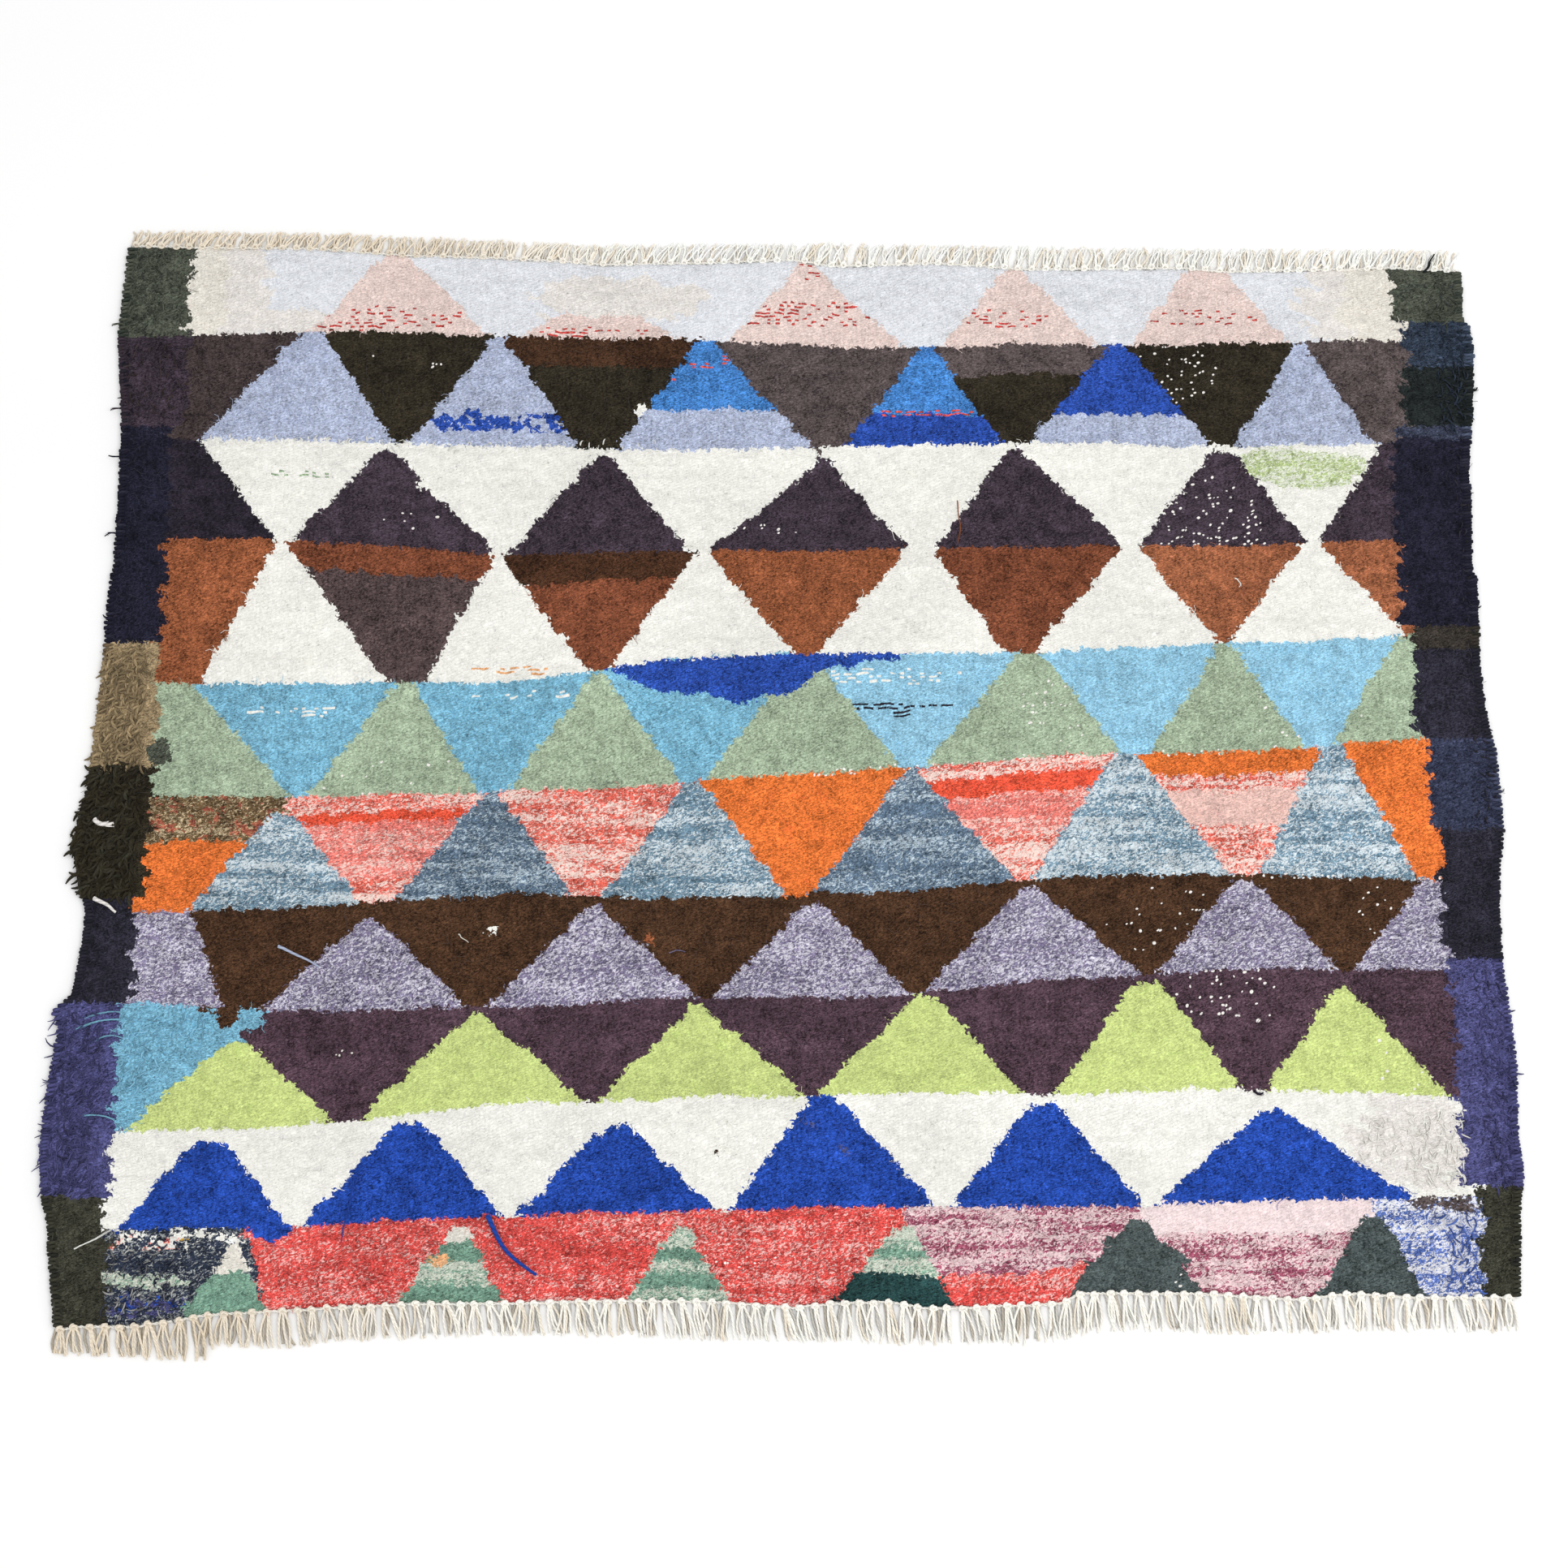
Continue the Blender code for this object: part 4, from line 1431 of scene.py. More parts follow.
def yarns(name, guides, radius, sides, material):
    """One mesh of round yarns along guides. A guide's points are metres, and its thickness is a
    number or one for each point."""
    points, edges, thick, tints = [], [], [], []
    for guide in guides:
        first = len(points)
        count = len(guide.points)
        points.extend(map(tuple, guide.points))
        edges.extend((first + step, first + step + 1) for step in range(count - 1))
        thick.extend(np.broadcast_to(guide.thick, (count,)).tolist())
        tints.extend([(*guide.tint, 1.0)] * count)
    mesh = bpy.data.meshes.new(name + "_guides")
    mesh.from_pydata(points, edges, [])
    mesh.attributes.new("thick", "FLOAT", "POINT").data.foreach_set("value", thick)
    tint = mesh.attributes.new("tint", "FLOAT_COLOR", "POINT")
    tint.data.foreach_set("color", np.array(tints, np.float32).ravel())
    source = place(name + "_guides", mesh)
    values = {"Radius": radius, "Sides": sides, "Material": material}
    made = through_nodes(source, yarn_tree(), name, values)
    bpy.data.objects.remove(source)
    return made


def registered(piece, slot, *nodes):
    """The piece goes with the root, takes a record slot's finish and stands for these CAD nodes."""
    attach(piece, "root")
    if nodes:
        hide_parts(*nodes)
    return piece


# ------------------
# The cloth.

# The cloth's underside is plain: each of its faces is this many cells wide and long.
BLOCK = 5
# How far the woven face drops at the cloth's rim, and one cell in from it.
RIM_DROP = 0.0016
NEXT_DROP = 0.0004
UNEVEN = 0.00022
# How thickly loose fibres stand on most yarns, and on the shaggy ones.
PLAIN_NAP = 0.75
NAP = {
    "olive": 3.2, "dark_olive": 2.6, "navy_grey": 1.6, "indigo": 1.5, "white": 0.8, "marl": 2.0,
    "blue_white": 1.6, "sky": 1.2,
}


def nap_at(x, y, yarn):
    """How thickly loose fibres stand at x, y."""
    nap = np.full(x.shape, PLAIN_NAP)
    for name, amount in NAP.items():
        nap = np.where(yarn == NUMBER[name], amount, nap)
    return nap * (1.0 + 0.5 * drift(x, y, 80.0, 60.0, 90))


def face_heights(settings, x, y):
    """The height of the cloth's face, in metres."""
    broad = drift(x, y, 310.0, 260.0, 101) * 0.6 + drift(x, y, 120.0, 150.0, 102) * 0.4
    return settings.thickness + settings.lie * broad + UNEVEN * drift(x, y, 9.0, 8.0, 103)


def face_points(settings, warp, pick, edges):
    """The x, y and z of the woven face where these warps and rows of weft cross, in metres."""
    x, y = loom_points(warp, pick, edges)
    z = face_heights(settings, x, y)
    rim = np.minimum(np.minimum(warp, WARPS - warp), np.minimum(pick, PICKS - pick))
    free = np.clip(rim / 3.0, 0.25, 1.0) * settings.wander / MM
    aside = drift(x, y, 7.5, 7.0, 105) + 0.5 * drift(x, y, 16.0, 16.0, 106)
    along_it = drift(x, y, 7.5, 8.0, 107) + 0.5 * drift(x, y, 22.0, 14.0, 108)
    z = z - np.where(rim == 0, RIM_DROP, np.where(rim == 1, NEXT_DROP, 0.0))
    return np.stack(((x + free * aside) * MM, (y + free * along_it) * MM, z), -1)


def cloth_mesh(settings, edges):
    """The closed cloth: a fine woven face, a wall and a coarser underside. Gives its mesh, the warp
    and the row of weft at each of its points, and how many of its faces are woven."""
    pick, warp = np.mgrid[0:PICKS + 1, 0:WARPS + 1]
    face = face_points(settings, warp, pick, edges)
    under = face[::BLOCK, ::BLOCK] * (1.0, 1.0, 0.0)
    points = np.concatenate((face.reshape(-1, 3), under.reshape(-1, 3)))

    index = np.arange(face.shape[0] * face.shape[1]).reshape(face.shape[:2])
    cell, wide = index[:-1, :-1], index.shape[1]
    woven = np.stack((cell, cell + wide, cell + wide + 1, cell + 1), -1).reshape(-1, 4)
    low = np.arange(under.shape[0] * under.shape[1]).reshape(under.shape[:2]) + index.size
    cell, wide = low[:-1, :-1], low.shape[1]
    base = np.stack((cell, cell + 1, cell + wide + 1, cell + wide), -1).reshape(-1, 4)

    walls = []
    for fine, coarse in (
        (index[0], low[0]), (index[:, -1], low[:, -1]),
        (index[-1][::-1], low[-1][::-1]), (index[::-1, 0], low[::-1, 0]),
    ):
        for step in range(len(coarse) - 1):
            upper = fine[step * BLOCK:step * BLOCK + BLOCK + 1].tolist()
            walls.append(upper + [int(coarse[step + 1]), int(coarse[step])])
    faces = woven.tolist() + walls + base.tolist()
    mesh = bpy.data.meshes.new("woven_cloth")
    mesh.from_pydata(points.tolist(), [], faces)
    smooth = np.ones(len(faces), bool)
    smooth[len(woven):len(woven) + len(walls)] = False
    mesh.polygons.foreach_set("use_smooth", smooth)
    grid_warp, grid_pick = (
        np.concatenate((grid.ravel(), grid[::BLOCK, ::BLOCK].ravel())) for grid in (warp, pick)
    )
    return mesh, grid_warp, grid_pick, len(woven)


def paint_cloth(mesh, grid_warp, grid_pick, face_count, painted, edges):
    """The mesh's attributes: the four yarn colours, join and nap, and the weave UV map."""
    layers, shares, side, yarn = painted
    corner = np.zeros(len(mesh.loops), np.int64)
    mesh.loops.foreach_get("vertex_index", corner)
    warp, pick = grid_warp[corner], grid_pick[corner]
    uv = mesh.uv_layers.new(name="weave")
    uv.data.foreach_set("uv", np.stack((warp, pick), -1).astype(np.float32).ravel())

    cell_warp = np.minimum(warp, WARPS - 1)
    cell_pick = np.minimum(pick, PICKS - 1)
    count = face_count * 4
    rows, columns = np.mgrid[0:PICKS, 0:WARPS]
    cell_warp[:count] = np.repeat(columns.ravel(), 4)
    cell_pick[:count] = np.repeat(rows.ravel(), 4)
    for name, values in layers.items():
        layer = mesh.color_attributes.new(name, "FLOAT_COLOR", "CORNER")
        layer.data.foreach_set("color", values[cell_pick, cell_warp].astype(np.float32).ravel())
    join = np.zeros((len(corner), 3), np.float32)
    join[:, 0] = 1.0
    join[:count, 0] = shares.reshape(-1)
    join[:, 1] = side[cell_pick, cell_warp]
    layer = mesh.attributes.new("join", "FLOAT_VECTOR", "CORNER")
    layer.data.foreach_set("vector", join.ravel())

    at_warp = np.minimum(grid_warp, WARPS - 1)
    at_pick = np.minimum(grid_pick, PICKS - 1)
    x, y = loom_points(grid_warp, grid_pick, edges)
    nap = nap_at(x, y, yarn[at_pick, at_warp])
    nap[(WARPS + 1) * (PICKS + 1):] = 0.0
    mesh.attributes.new("nap", "FLOAT", "POINT").data.foreach_set("value", nap.astype(np.float32))


class RUG_OT_cloth(bpy.types.Operator):
    """Weave the cloth, cell by cell"""

    bl_idname = "rug.cloth"
    bl_label = "Woven cloth"

    def execute(self, context):
        settings = context.scene.rug_weave
        edges = cloth_edges()
        mesh, grid_warp, grid_pick, face_count = cloth_mesh(settings, edges)
        painted = cell_colours(context, edges)
        paint_cloth(mesh, grid_warp, grid_pick, face_count, painted, edges)
        mesh.materials.append(woven_wool(settings))
        registered(place("woven_cloth", mesh), "wool", "rug_cloth")
        return {"FINISHED"}


def border_tint(context, bands, y, draw):
    """The colour of a side border's yarn at y."""
    colours = context.scene.rug_yarns
    band = [band for band in bands if band.y >= y][-1]
    part = "fleck" if draw < YARNS[band.yarn].share else "ground"
    return np.array(getattr(colours, f"{band.yarn}_{part}"))


# The loop of weft round an edge. Each point lies this far inside the edge, or this share of the
# loop's own reach outside it, slides by this share along the edge, and has its own height and
# thickness.
Turn = namedtuple("Turn", "inside reach slide height thick")

LOOP = (
    Turn(0.0085, 0.0, -1.0, 0.0040, 0.7),
    Turn(0.0050, 0.0, -0.5, 0.0046, 0.9),
    Turn(0.0015, 0.0, 0.0, 0.0046, 1.0),
    Turn(0.0, 0.8, 0.5, 0.0038, 1.0),
    Turn(0.0, 1.0, 1.0, 0.0026, 0.95),
    Turn(0.0010, 0.0, 1.4, 0.0017, 0.7),
    Turn(0.0060, 0.0, 1.4, 0.0016, 0.6),
)
LOOP_REACH = (0.0005, 0.0024)
LOOP_SLIDE = 0.0022


def selvedge_guides(context, bands, column, outward, edges):
    """One loop of weft round the edge for every row."""
    x, y = loom_points(np.full(PICKS, column), np.arange(PICKS) + 0.5, edges)
    guides = []
    for row in range(PICKS):
        drawn = draws(row, 200 + outward, 6)
        reach = LOOP_REACH[0] + LOOP_REACH[1] * drawn[0] * drawn[0]
        slide = LOOP_SLIDE * (drawn[1] - 0.5)
        points = [
            (
                x[row] * MM + outward * (reach * turn.reach - turn.inside),
                y[row] * MM + slide * turn.slide,
                turn.height,
            )
            for turn in LOOP
        ]
        tint = border_tint(context, bands, y[row], drawn[2]) * (0.85 + 0.3 * drawn[3])
        guides.append(Guide(points, [turn.thick for turn in LOOP], tint))
    return guides


class RUG_OT_selvedges(bpy.types.Operator):
    """Turn the weft round both side edges"""

    bl_idname = "rug.selvedges"
    bl_label = "Selvedges"

    def execute(self, context):
        settings = context.scene.rug_weave
        edges = cloth_edges()
        material = spun_yarn("selvedge wool")
        for name, bands, column, outward in (
            ("selvedge_left", LEFT_BORDER, 0, -1),
            ("selvedge_right", RIGHT_BORDER, WARPS, 1),
        ):
            guides = selvedge_guides(context, bands, column, outward, edges)
            made = yarns(name, guides, settings.selvedge_yarn, YARN_SIDES, material)
            registered(made, "wool")
        return {"FINISHED"}


# ------------------
# The end cords and the fringes.

# The cord's middle: how far out from the woven end, in millimetres, and how high.
CORD_AWAY = 1.55
CORD_HEIGHT = 0.0031
CORD_SPREAD = 0.95
CORD_STEPS = 8
CORD_SHADES = (0.93, 1.0)


def end_line(edges, outward):
    """The far end's line or the near end's."""
    return edges[0] if outward > 0 else edges[1]


def cord_guides(context, edges, outward):
    """Two strands twined round each other along a woven end."""
    settings = context.scene.rug_fringe
    line = end_line(edges, outward)
    step = settings.turn / CORD_STEPS / MM
    x = np.arange(line[0, 0] + 1.0, line[-1, 0] - 1.0, step)
    y = along(line, x) + outward * CORD_AWAY
    spread = settings.cord * CORD_SPREAD
    guides = []
    for strand, shade in enumerate(CORD_SHADES):
        angle = math.tau * (x * MM) / settings.turn + strand * math.pi
        sway = 0.35 * drift(x, x * 0, 14.0, 1.0, 130 + strand)
        sway = sway + 0.5 * drift(x, x * 0, 7.5, 1.0, 135)
        aside, height = spread * np.cos(angle), CORD_HEIGHT + spread * np.sin(angle)
        points = np.stack((x * MM, (y + sway) * MM + aside, height), -1)
        guides.append(Guide(points, 1.0, np.array(settings.colour) * shade))
    return guides


class RUG_OT_end_cords(bpy.types.Operator):
    """Twine a cord along both woven ends"""

    bl_idname = "rug.end_cords"
    bl_label = "End cords"

    def execute(self, context):
        settings = context.scene.rug_fringe
        edges = cloth_edges()
        material = spun_yarn("cotton twine")
        for name, outward, node in (
            ("twined_cord_far", 1, "end_cord_far"), ("twined_cord_near", -1, "end_cord_near"),
        ):
            guides = cord_guides(context, edges, outward)
            made = yarns(name, guides, settings.cord, STRAND_SIDES, material)
            registered(made, "cotton_twine", node)
        return {"FINISHED"}


# How a fringe hangs. knot: its knots' size. under: the strands that lie under each bunch, darker
# to paint the shade between its strands. lean: how far a bunch leans, with the draw at which it
# stands straight, and how far each strand does. curl, wave, steps and thick: a strand's curl, wave,
# points and thickness. shade and the under strands' shade: their lightness, the second a painted
# shade between the strands. soil: where the soiled part starts, how soiled it gets, and the rest.
Hang = namedtuple(
    "Hang", "knot under lean straight own_lean curl wave steps thick shade under_shade soil"
)

HANGS = {
    1: Hang(
        knot=1.1, under=3, lean=0.0080, straight=0.0, own_lean=0.0045, curl=0.0150, wave=0.0016,
        steps=8, thick=1.0, shade=1.04, under_shade=0.84, soil=(-140.0, 0.58, 0.0),
    ),
    -1: Hang(
        knot=1.25, under=2, lean=0.0120, straight=0.35, own_lean=0.0030, curl=0.0060, wave=0.0009,
        steps=9, thick=1.15, shade=0.98, under_shade=0.55, soil=(-330.0, 0.60, 0.05),
    ),
}
SOIL_REACH = 260.0
TIP_REACH = 12.0
FRINGE_START = 5.25
FRINGE_STOP = 8.0
KNOT_STEPS = 12
KNOT_TURNS = 1.3
KNOT_HEIGHT = 0.0046
KNOT_DEPTH = 0.0014
STRAND_HEIGHT = 0.0034
TIP_HEIGHT = 0.0013
UNDER_HEIGHT = 0.0011
UNDER_ROOT = 0.0016
UNDER_THICK = 1.25


def fringe_tips(node, outward, x):
    """How far out a CAD fringe's comb reaches at x: the y of its outermost corners nearby."""
    corners = np.array(cad_outline(node))
    reach = []
    for at in x:
        nearby = corners[np.abs(corners[:, 0] - at) < TIP_REACH]
        reach.append(nearby[:, 1].max() if outward > 0 else nearby[:, 1].min())
    return reach


def curved(start, end, bend, curl, steps, wave, phase):
    """Points from start to end, bowed sideways by bend, curled at the end by curl, and wavy."""
    share = np.linspace(0.0, 1.0, steps)
    base = np.array(start)[None] * (1.0 - share[:, None]) + np.array(end)[None] * share[:, None]
    base[:, 0] += bend * np.sin(math.pi * share) + curl * share ** 3
    base[:, 0] += wave * np.sin(share * 7.0 + phase * 6.0) * share
    return base


def knot_points(settings, hang, middle, knot_y, outward, draw):
    """A loop and a bit round a bunch, where it is knotted."""
    share = np.arange(KNOT_STEPS + 1) / KNOT_STEPS
    turn = math.tau * KNOT_TURNS * share + draw[2] * 2.0
    across = settings.knot * (hang.knot + 0.2 * draw[3]) * np.cos(turn)
    out = outward * KNOT_DEPTH * (share - 0.5) + settings.knot * 0.8 * np.sin(turn)
    height = KNOT_HEIGHT + settings.knot * 0.7 * np.sin(turn)
    return np.stack((middle + across, knot_y + out, height), -1)


def bunch_guides(context, number, x, line, tip, outward, soil):
    """One knotted bunch: its knot against the cord, its fanned strands and those under them."""
    settings = context.scene.rug_fringe
    hang = HANGS[outward]
    draw = draws(number, 300 + outward, 90)
    cotton, soiled = np.array(settings.colour), np.array(settings.shade)
    own = cotton * (1.0 - soil) + soiled * soil
    end_y = float(along(line, x)) * MM
    middle = x * MM + 0.0020 * (draw[0] - 0.5)
    knot_y = end_y + outward * (0.0012 + 0.0016 * draw[1])
    points = knot_points(settings, hang, middle, knot_y, outward, draw)
    tint = np.clip(own * (1.0 + 0.08 * draw[4]), 0.0, 1.0)
    guides = [Guide(points, 1.2 * hang.knot, tint)]

    count = settings.strands + (1 if draw[88] > 0.7 else 0) - (1 if draw[89] > 0.45 else 0)
    half = settings.pitch * 0.5
    reach = abs(tip * MM - knot_y)
    for strand in range(count + hang.under):
        shade_strand = strand >= count
        one = draw[6 + strand * 7:13 + strand * 7]
        place_in_row = (strand - count, hang.under) if shade_strand else (strand, count)
        spread = (place_in_row[0] + 0.5) / place_in_row[1] * 2.0 - 1.0 + 0.50 * (one[0] - 0.5)
        span = 0.90 + 0.12 * one[1] - (0.10 if shade_strand else 0.0)
        lean = hang.lean * (draw[5] - hang.straight) + hang.own_lean * one[2]
        start = (middle + spread * 0.0016, knot_y, STRAND_HEIGHT)
        if shade_strand:
            start = (middle + spread * half * 0.95, end_y + outward * 0.0012, UNDER_ROOT)
        end = (
            middle + spread * half * 1.02 + lean,
            knot_y + outward * reach * span,
            TIP_HEIGHT + 0.0012 * one[3],
        )
        bend = (0.0 if shade_strand else spread * 0.0022) + (one[4] - 0.5) * 0.0048
        curl = hang.curl * (one[5] - 0.40)
        points = curved(start, end, bend, curl, hang.steps, hang.wave, one[6])
        share = np.linspace(0.0, 1.0, len(points))
        points[:, 2] += 0.0012 * np.sin(math.pi * share) * one[3]
        thick = np.linspace(1.05, 0.85, len(points)) * (0.92 + 0.2 * one[4]) * hang.thick
        # The strands under the bunch are darkened as painted shade between the strands that show.
        shade = (hang.under_shade if shade_strand else hang.shade) + 0.10 * one[5]
        if shade_strand:
            thick = thick * UNDER_THICK
            points[:, 2] = UNDER_HEIGHT
        points[:, 2] = np.maximum(points[:, 2], settings.strand * thick.max() + 0.0001)
        mixed = own if one[6] < 0.78 else (own + soiled) * 0.5
        guides.append(Guide(points, thick, np.clip(mixed * shade, 0.0, 1.0)))
    return guides


def fringe_guides(context, edges, node, outward):
    """Every bunch of a fringe, at the pitch of its packed comb."""
    settings = context.scene.rug_fringe
    line = end_line(edges, outward)
    pitch = settings.pitch / MM
    x = np.arange(line[0, 0] + FRINGE_START, line[-1, 0] - FRINGE_STOP, pitch)
    start, most, least = HANGS[outward].soil
    guides = []
    for number, (at, tip) in enumerate(zip(x, fringe_tips(node, outward, x))):
        soil = most * max(0.0, min(1.0, (start - at) / SOIL_REACH)) + least
        guides += bunch_guides(context, number, at, line, tip, outward, soil)
    return guides


class RUG_OT_fringes(bpy.types.Operator):
    """Knot and fan the warp ends at both ends"""

    bl_idname = "rug.fringes"
    bl_label = "Fringes"

    def execute(self, context):
        settings = context.scene.rug_fringe
        edges = cloth_edges()
        material = spun_yarn("cotton warp")
        for name, outward, node in (
            ("warp_fringe_far", 1, "fringe_far"), ("warp_fringe_near", -1, "fringe_near"),
        ):
            guides = fringe_guides(context, edges, node, outward)
            made = yarns(name, guides, settings.strand, STRAND_SIDES, material)
            registered(made, "cotton_warp", node)
        return {"FINISHED"}


# ------------------
# Loose yarn ends and fibres.


# Past these a tail hangs off the cloth and lies lower.
TAIL_SIDE = 752
TAIL_NEAR = -560
TAIL_STEPS = 10
TAIL_RADIUS = 0.001
OFF_HEIGHT = 0.003
HAIR_STEPS = 9
HAIR_THICK = 0.3


def tail_guides(context):
    """The yarn tails on the face and at the edges, each with two thin frayed hairs beside it."""
    settings = context.scene.rug_weave
    colours = context.scene.rug_yarns
    share = np.linspace(0.0, 1.0, TAIL_STEPS)[:, None]
    guides = []
    for number, tail in enumerate(TAILS):
        start, middle, end = (
            np.array(point, float) for point in (tail.start, tail.middle, tail.end)
        )
        bend = start * (1 - share) ** 2 + 2 * middle * share * (1 - share) + end * share ** 2
        bend[:, 0] += 0.8 * np.sin(share[:, 0] * 9.0 + number)
        radius = tail.thickness / 2.0 * MM
        height = settings.thickness + radius * 0.6 + 0.0012 * np.sin(math.pi * share[:, 0])
        outside = (np.abs(bend[:, 0]) > TAIL_SIDE) | (bend[:, 1] < TAIL_NEAR)
        height = np.where(outside, OFF_HEIGHT, height)
        points = np.stack((bend[:, 0] * MM, bend[:, 1] * MM, height), -1)
        thick = radius / TAIL_RADIUS * (1.0 - 0.45 * share[:, 0])
        tint = np.array(getattr(colours, f"{tail.yarn}_ground"))
        guides.append(Guide(points, thick, tint))
        pale = np.clip(tint * 1.15 + 0.02, 0, 1)
        for way in (-1, 1):
            aside = np.array([0.6, -0.5, 0.0]) * way * tail.thickness * 0.5 * MM
            spread = points + aside[None] * (0.4 + 1.6 * share)
            guides.append(Guide(spread[:HAIR_STEPS], thick[:HAIR_STEPS] * HAIR_THICK, pale))
    return guides


class RUG_OT_tails(bpy.types.Operator):
    """Leave yarn ends on the face and at the edges"""

    bl_idname = "rug.tails"
    bl_label = "Yarn tails"

    def execute(self, context):
        material = spun_yarn("selvedge wool")
        made = yarns("yarn_tails", tail_guides(context), TAIL_RADIUS, YARN_SIDES, material)
        registered(made, "wool")
        return {"FINISHED"}


TUFT_RADIUS = 0.0008
TUFT_THICK = np.array((0.9, 1.0, 1.0, 0.8, 0.4))
TUFT_FAN = 95.0
TUFT_CURL = 1.8
OFF_DROP = 0.0022
# How light a tuft may be, and how much darker: of a dark yarn, and of a pale one.
DARK_TUFT = (1.4, 0.75)
PALE_TUFT = (1.12, 0.25)


def tuft(settings, shag, x, y, left, right, draw):
    """The points of one tuft from x, y, lower where it leaves the cloth."""
    way = math.radians(shag.way + TUFT_FAN * (draw[2] - 0.5))
    reach = shag.length * (0.45 + 0.9 * draw[3])
    share = np.linspace(0.0, 1.0, len(TUFT_THICK))
    turn = way + (draw[4] - 0.5) * TUFT_CURL * share
    px = x + reach * share * np.cos(turn)
    py = y + reach * share * np.sin(turn)
    height = settings.thickness + 0.0002 + 0.0026 * draw[5] * np.sin(math.pi * share)
    outside = (px < left) | (px > right)
    return np.stack((px * MM, py * MM, np.where(outside, height - OFF_DROP, height)), -1)


def shag_guides(context, edges):
    """Tufts of weft that stand off the cloth in its shaggy places."""
    settings = context.scene.rug_weave
    colours = context.scene.rug_yarns
    guides = []
    for number, shag in enumerate(SHAGS):
        own = np.array(getattr(colours, f"{shag.yarn}_ground"))
        other = np.array(getattr(colours, f"{shag.other}_ground"))
        bright, spread = DARK_TUFT if own.mean() < 0.5 else PALE_TUFT
        columns = int((shag.right - shag.left) / shag.spacing)
        rows = int((shag.far - shag.near) / shag.spacing)
        for column, row in np.ndindex(columns, rows):
            draw = [float(chance(column * 131 + turn, row, 400 + number)) for turn in range(9)]
            x = shag.left + (column + draw[0]) * shag.spacing
            y = shag.near + (row + draw[1]) * shag.spacing
            left, right = float(along(edges[2], y)), float(along(edges[3], y))
            if x < left + 1.0 or x > right - 1.0:
                continue
            points = tuft(settings, shag, x, y, left, right, draw)
            tint = (own + (other - own) * 0.6 * draw[6] ** 2) * (bright - spread * draw[8])
            thick = (0.8 + 0.6 * draw[7]) * shag.thick * TUFT_THICK
            guides.append(Guide(points, thick, np.clip(tint, 0.0, 1.0)))
    return guides


class RUG_OT_shag(bpy.types.Operator):
    """Raise tufts in the shaggy places"""

    bl_idname = "rug.shag"
    bl_label = "Shaggy tufts"

    def execute(self, context):
        guides = shag_guides(context, cloth_edges())
        material = spun_yarn("selvedge wool")
        made = yarns("shaggy_tufts", guides, TUFT_RADIUS, TUFT_SIDES, material)
        registered(made, "wool")
        return {"FINISHED"}


class RUG_OT_fibres(bpy.types.Operator):
    """Scatter loose fibres over the cloth"""

    bl_idname = "rug.fibres"
    bl_label = "Loose fibres"

    def execute(self, context):
        settings = context.scene.rug_weave
        cloth = bpy.data.objects.get("woven_cloth")
        if cloth is None:
            raise RuntimeError("weave the cloth before its loose fibres")
        source = place("fibre_source", cloth.data.copy())
        values = {
            "Density": settings.fibre_density, "Length": settings.fibre_length,
            "Radius": settings.fibre_radius, "Seed": settings.seed,
            "Material": loose_wool(settings),
        }
        made = through_nodes(source, fibre_tree(), "loose_fibres", values)
        bpy.data.objects.remove(source)
        registered(made, "wool")
        return {"FINISHED"}


# ------------------
# The stage.


# The floor's top is just under the cloth, so that the two don't flicker.
FLOOR_HALF = 6.0
FLOOR_HEIGHT = -0.0002
FLOOR_GRIT = 0.00003
LAMP_SIZE = (2.4, 1.6)
LAMP_PLACE = (1.5, -0.6, 2.9)
SENSOR_WIDTH = 36.0
CAMERA_AIM = -0.02


def floor_material():
    """A matt, very pale floor with a faint unevenness."""
    material, graph, shader = new_material("pale floor")
    shader.inputs["Sheen Weight"].default_value = 0.0
    position = graph.position()
    patches = graph.noise(position, 3.0, 3.0, 0.5)
    colour = graph.blend(patches, (0.955, 0.955, 0.955, 1.0), (0.985, 0.985, 0.985, 1.0))
    grit = graph.noise(position, 700.0, 2.0, 0.5)
    roughness = graph.line(grit, 0.3, 0.7, 0.9, 1.0)
    finish_shader(graph, shader, colour, roughness, grit, FLOOR_GRIT)
    return material


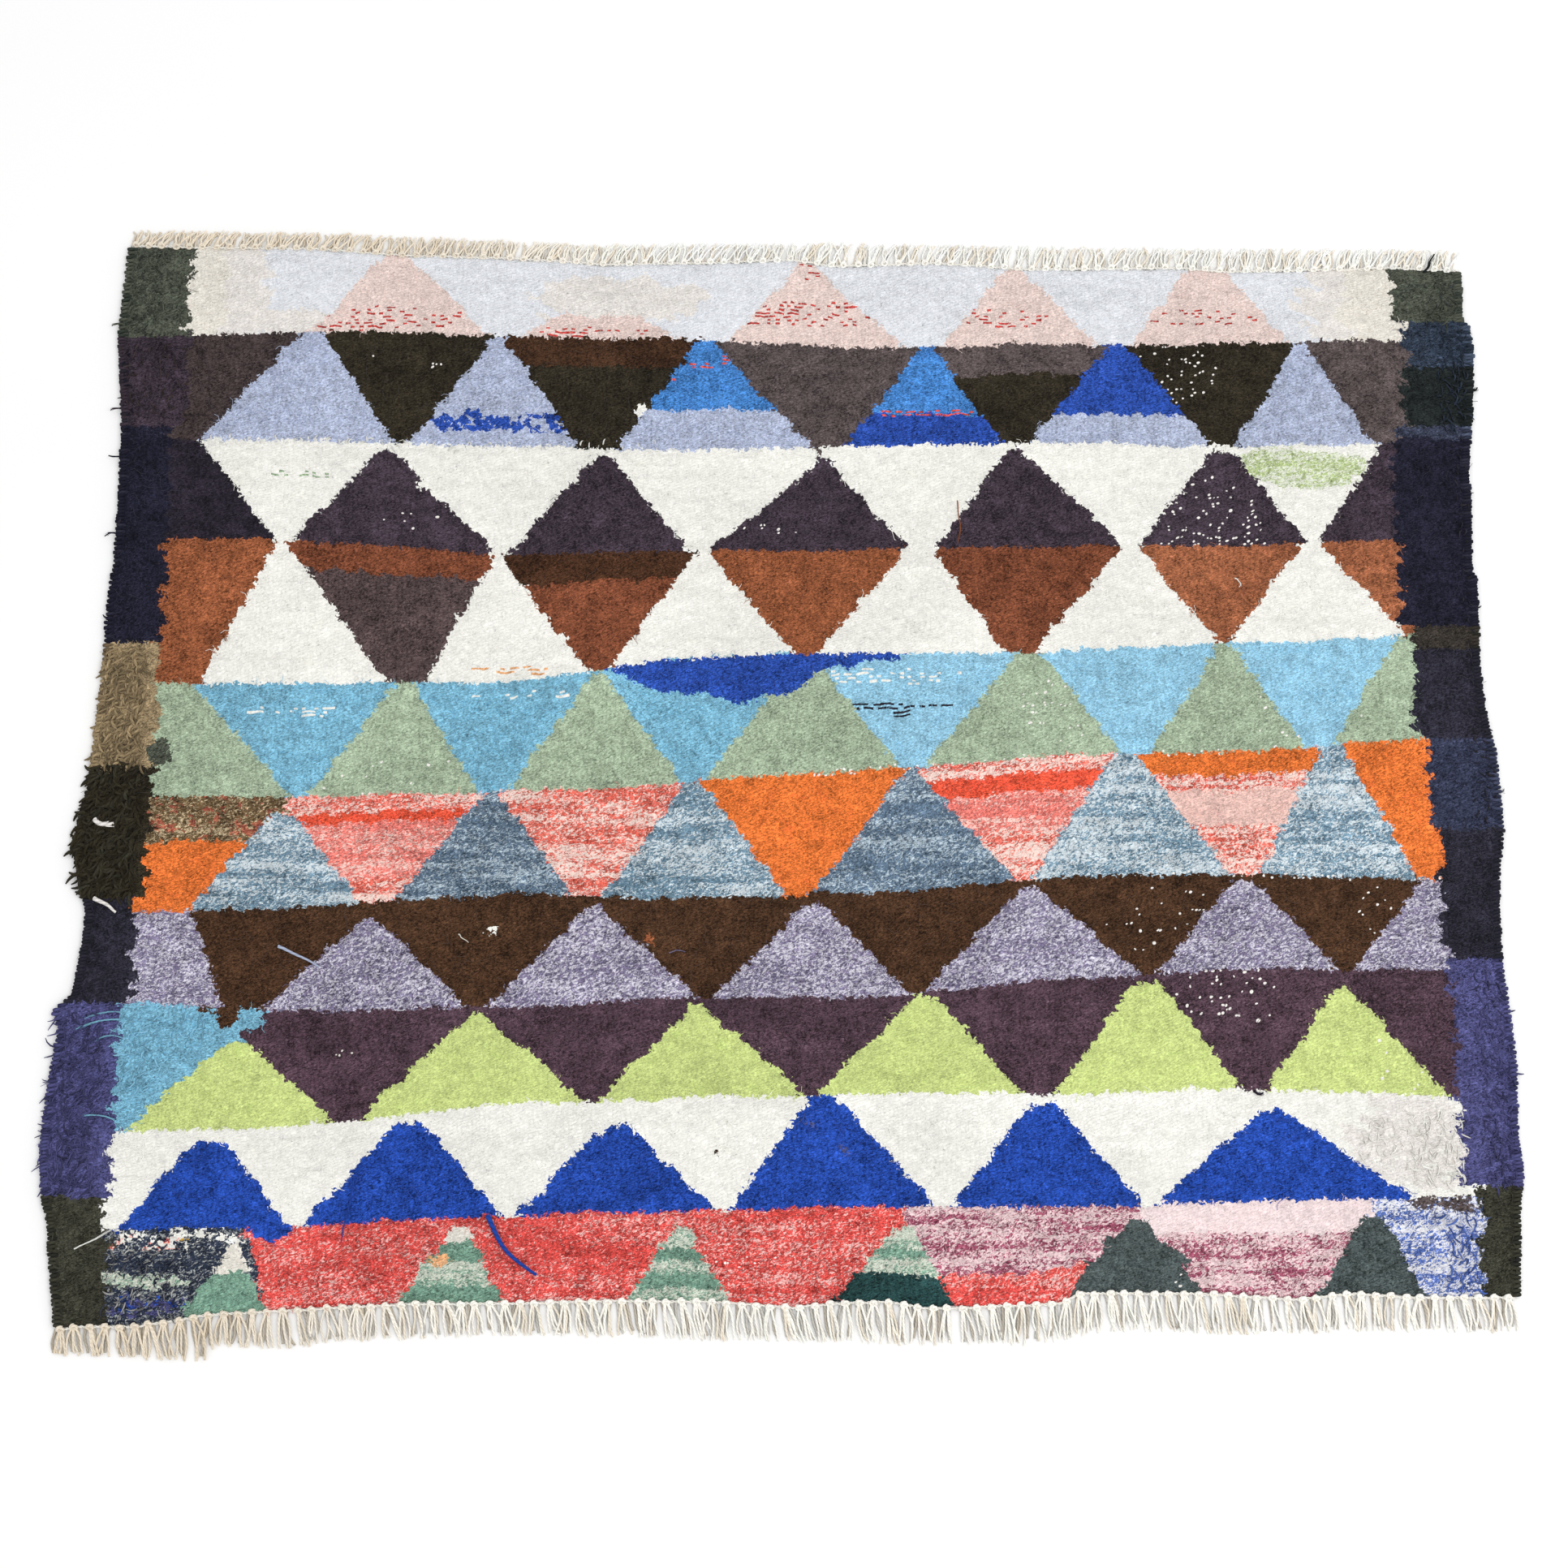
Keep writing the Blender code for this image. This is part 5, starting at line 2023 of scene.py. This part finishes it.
class RUG_OT_stage(bpy.types.Operator):
    """Set the floor, the light and the camera"""

    bl_idname = "rug.stage"
    bl_label = "Stage"

    def execute(self, context):
        settings = context.scene.rug_stage
        mesh = bpy.data.meshes.new("floor")
        corners = [
            (x * FLOOR_HALF, y * FLOOR_HALF, FLOOR_HEIGHT)
            for x, y in ((-1, -1), (1, -1), (1, 1), (-1, 1))
        ]
        mesh.from_pydata(corners, [], [(0, 1, 2, 3)])
        mesh.materials.append(floor_material())
        floor = place("floor", mesh)

        lamp_data = bpy.data.lights.new("soft lamp", "AREA")
        lamp_data.shape = "RECTANGLE"
        lamp_data.size, lamp_data.size_y = LAMP_SIZE
        lamp_data.energy = settings.lamp
        lamp = bpy.data.objects.new("soft lamp", lamp_data)
        context.scene.collection.objects.link(lamp)
        lamp.location = LAMP_PLACE
        lamp.rotation_mode = "QUATERNION"
        lamp.rotation_quaternion = (-lamp.location).to_track_quat("-Z", "Y")

        world = bpy.data.worlds.new("pale studio")
        world.use_nodes = True
        backdrop = world.node_tree.nodes["Background"]
        backdrop.inputs["Color"].default_value = (1.0, 1.0, 1.0, 1.0)
        backdrop.inputs["Strength"].default_value = settings.sky
        context.scene.world = world
        context.scene.view_settings.view_transform = "Standard"

        camera = bpy.data.objects.new("camera", bpy.data.cameras.new("camera"))
        context.scene.collection.objects.link(camera)
        camera.data.sensor_width = SENSOR_WIDTH
        camera.data.lens = settings.lens
        back, up = math.cos(settings.elevation), math.sin(settings.elevation)
        camera.location = (0.0, CAMERA_AIM - back * settings.distance, up * settings.distance)
        camera.rotation_euler = (math.pi / 2.0 - settings.elevation, 0.0, 0.0)
        context.scene.camera = camera
        return {"FINISHED"}


# ------------------
# The panel and the run.

OPERATORS = (
    RUG_OT_cloth, RUG_OT_selvedges, RUG_OT_end_cords, RUG_OT_fringes, RUG_OT_tails, RUG_OT_shag,
    RUG_OT_fibres, RUG_OT_stage,
)


class RUG_PT_panel(bpy.types.Panel):
    """The rug's pieces and their settings"""

    bl_label = "Boucherouite rug"
    bl_idname = "RUG_PT_panel"
    bl_space_type = "VIEW_3D"
    bl_region_type = "UI"
    bl_category = "Rug"

    def draw(self, context):
        layout = self.layout
        for operator in OPERATORS:
            layout.operator(operator.bl_idname)
        for group, name in SETTINGS:
            box = layout.box()
            box.label(text=group.__doc__)
            values = getattr(context.scene, name)
            for key in group.__annotations__:
                box.prop(values, key)


def register():
    for group, name in SETTINGS:
        bpy.utils.register_class(group)
        setattr(bpy.types.Scene, name, bpy.props.PointerProperty(type=group))
    for operator in OPERATORS:
        bpy.utils.register_class(operator)
    bpy.utils.register_class(RUG_PT_panel)


def unregister():
    bpy.utils.unregister_class(RUG_PT_panel)
    for operator in reversed(OPERATORS):
        bpy.utils.unregister_class(operator)
    for group, name in reversed(SETTINGS):
        delattr(bpy.types.Scene, name)
        bpy.utils.unregister_class(group)


def main():
    register()
    for operator in OPERATORS:
        group, name = operator.bl_idname.split(".")
        getattr(getattr(bpy.ops, group), name)()
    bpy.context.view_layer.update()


if __name__ == "__main__":
    main()
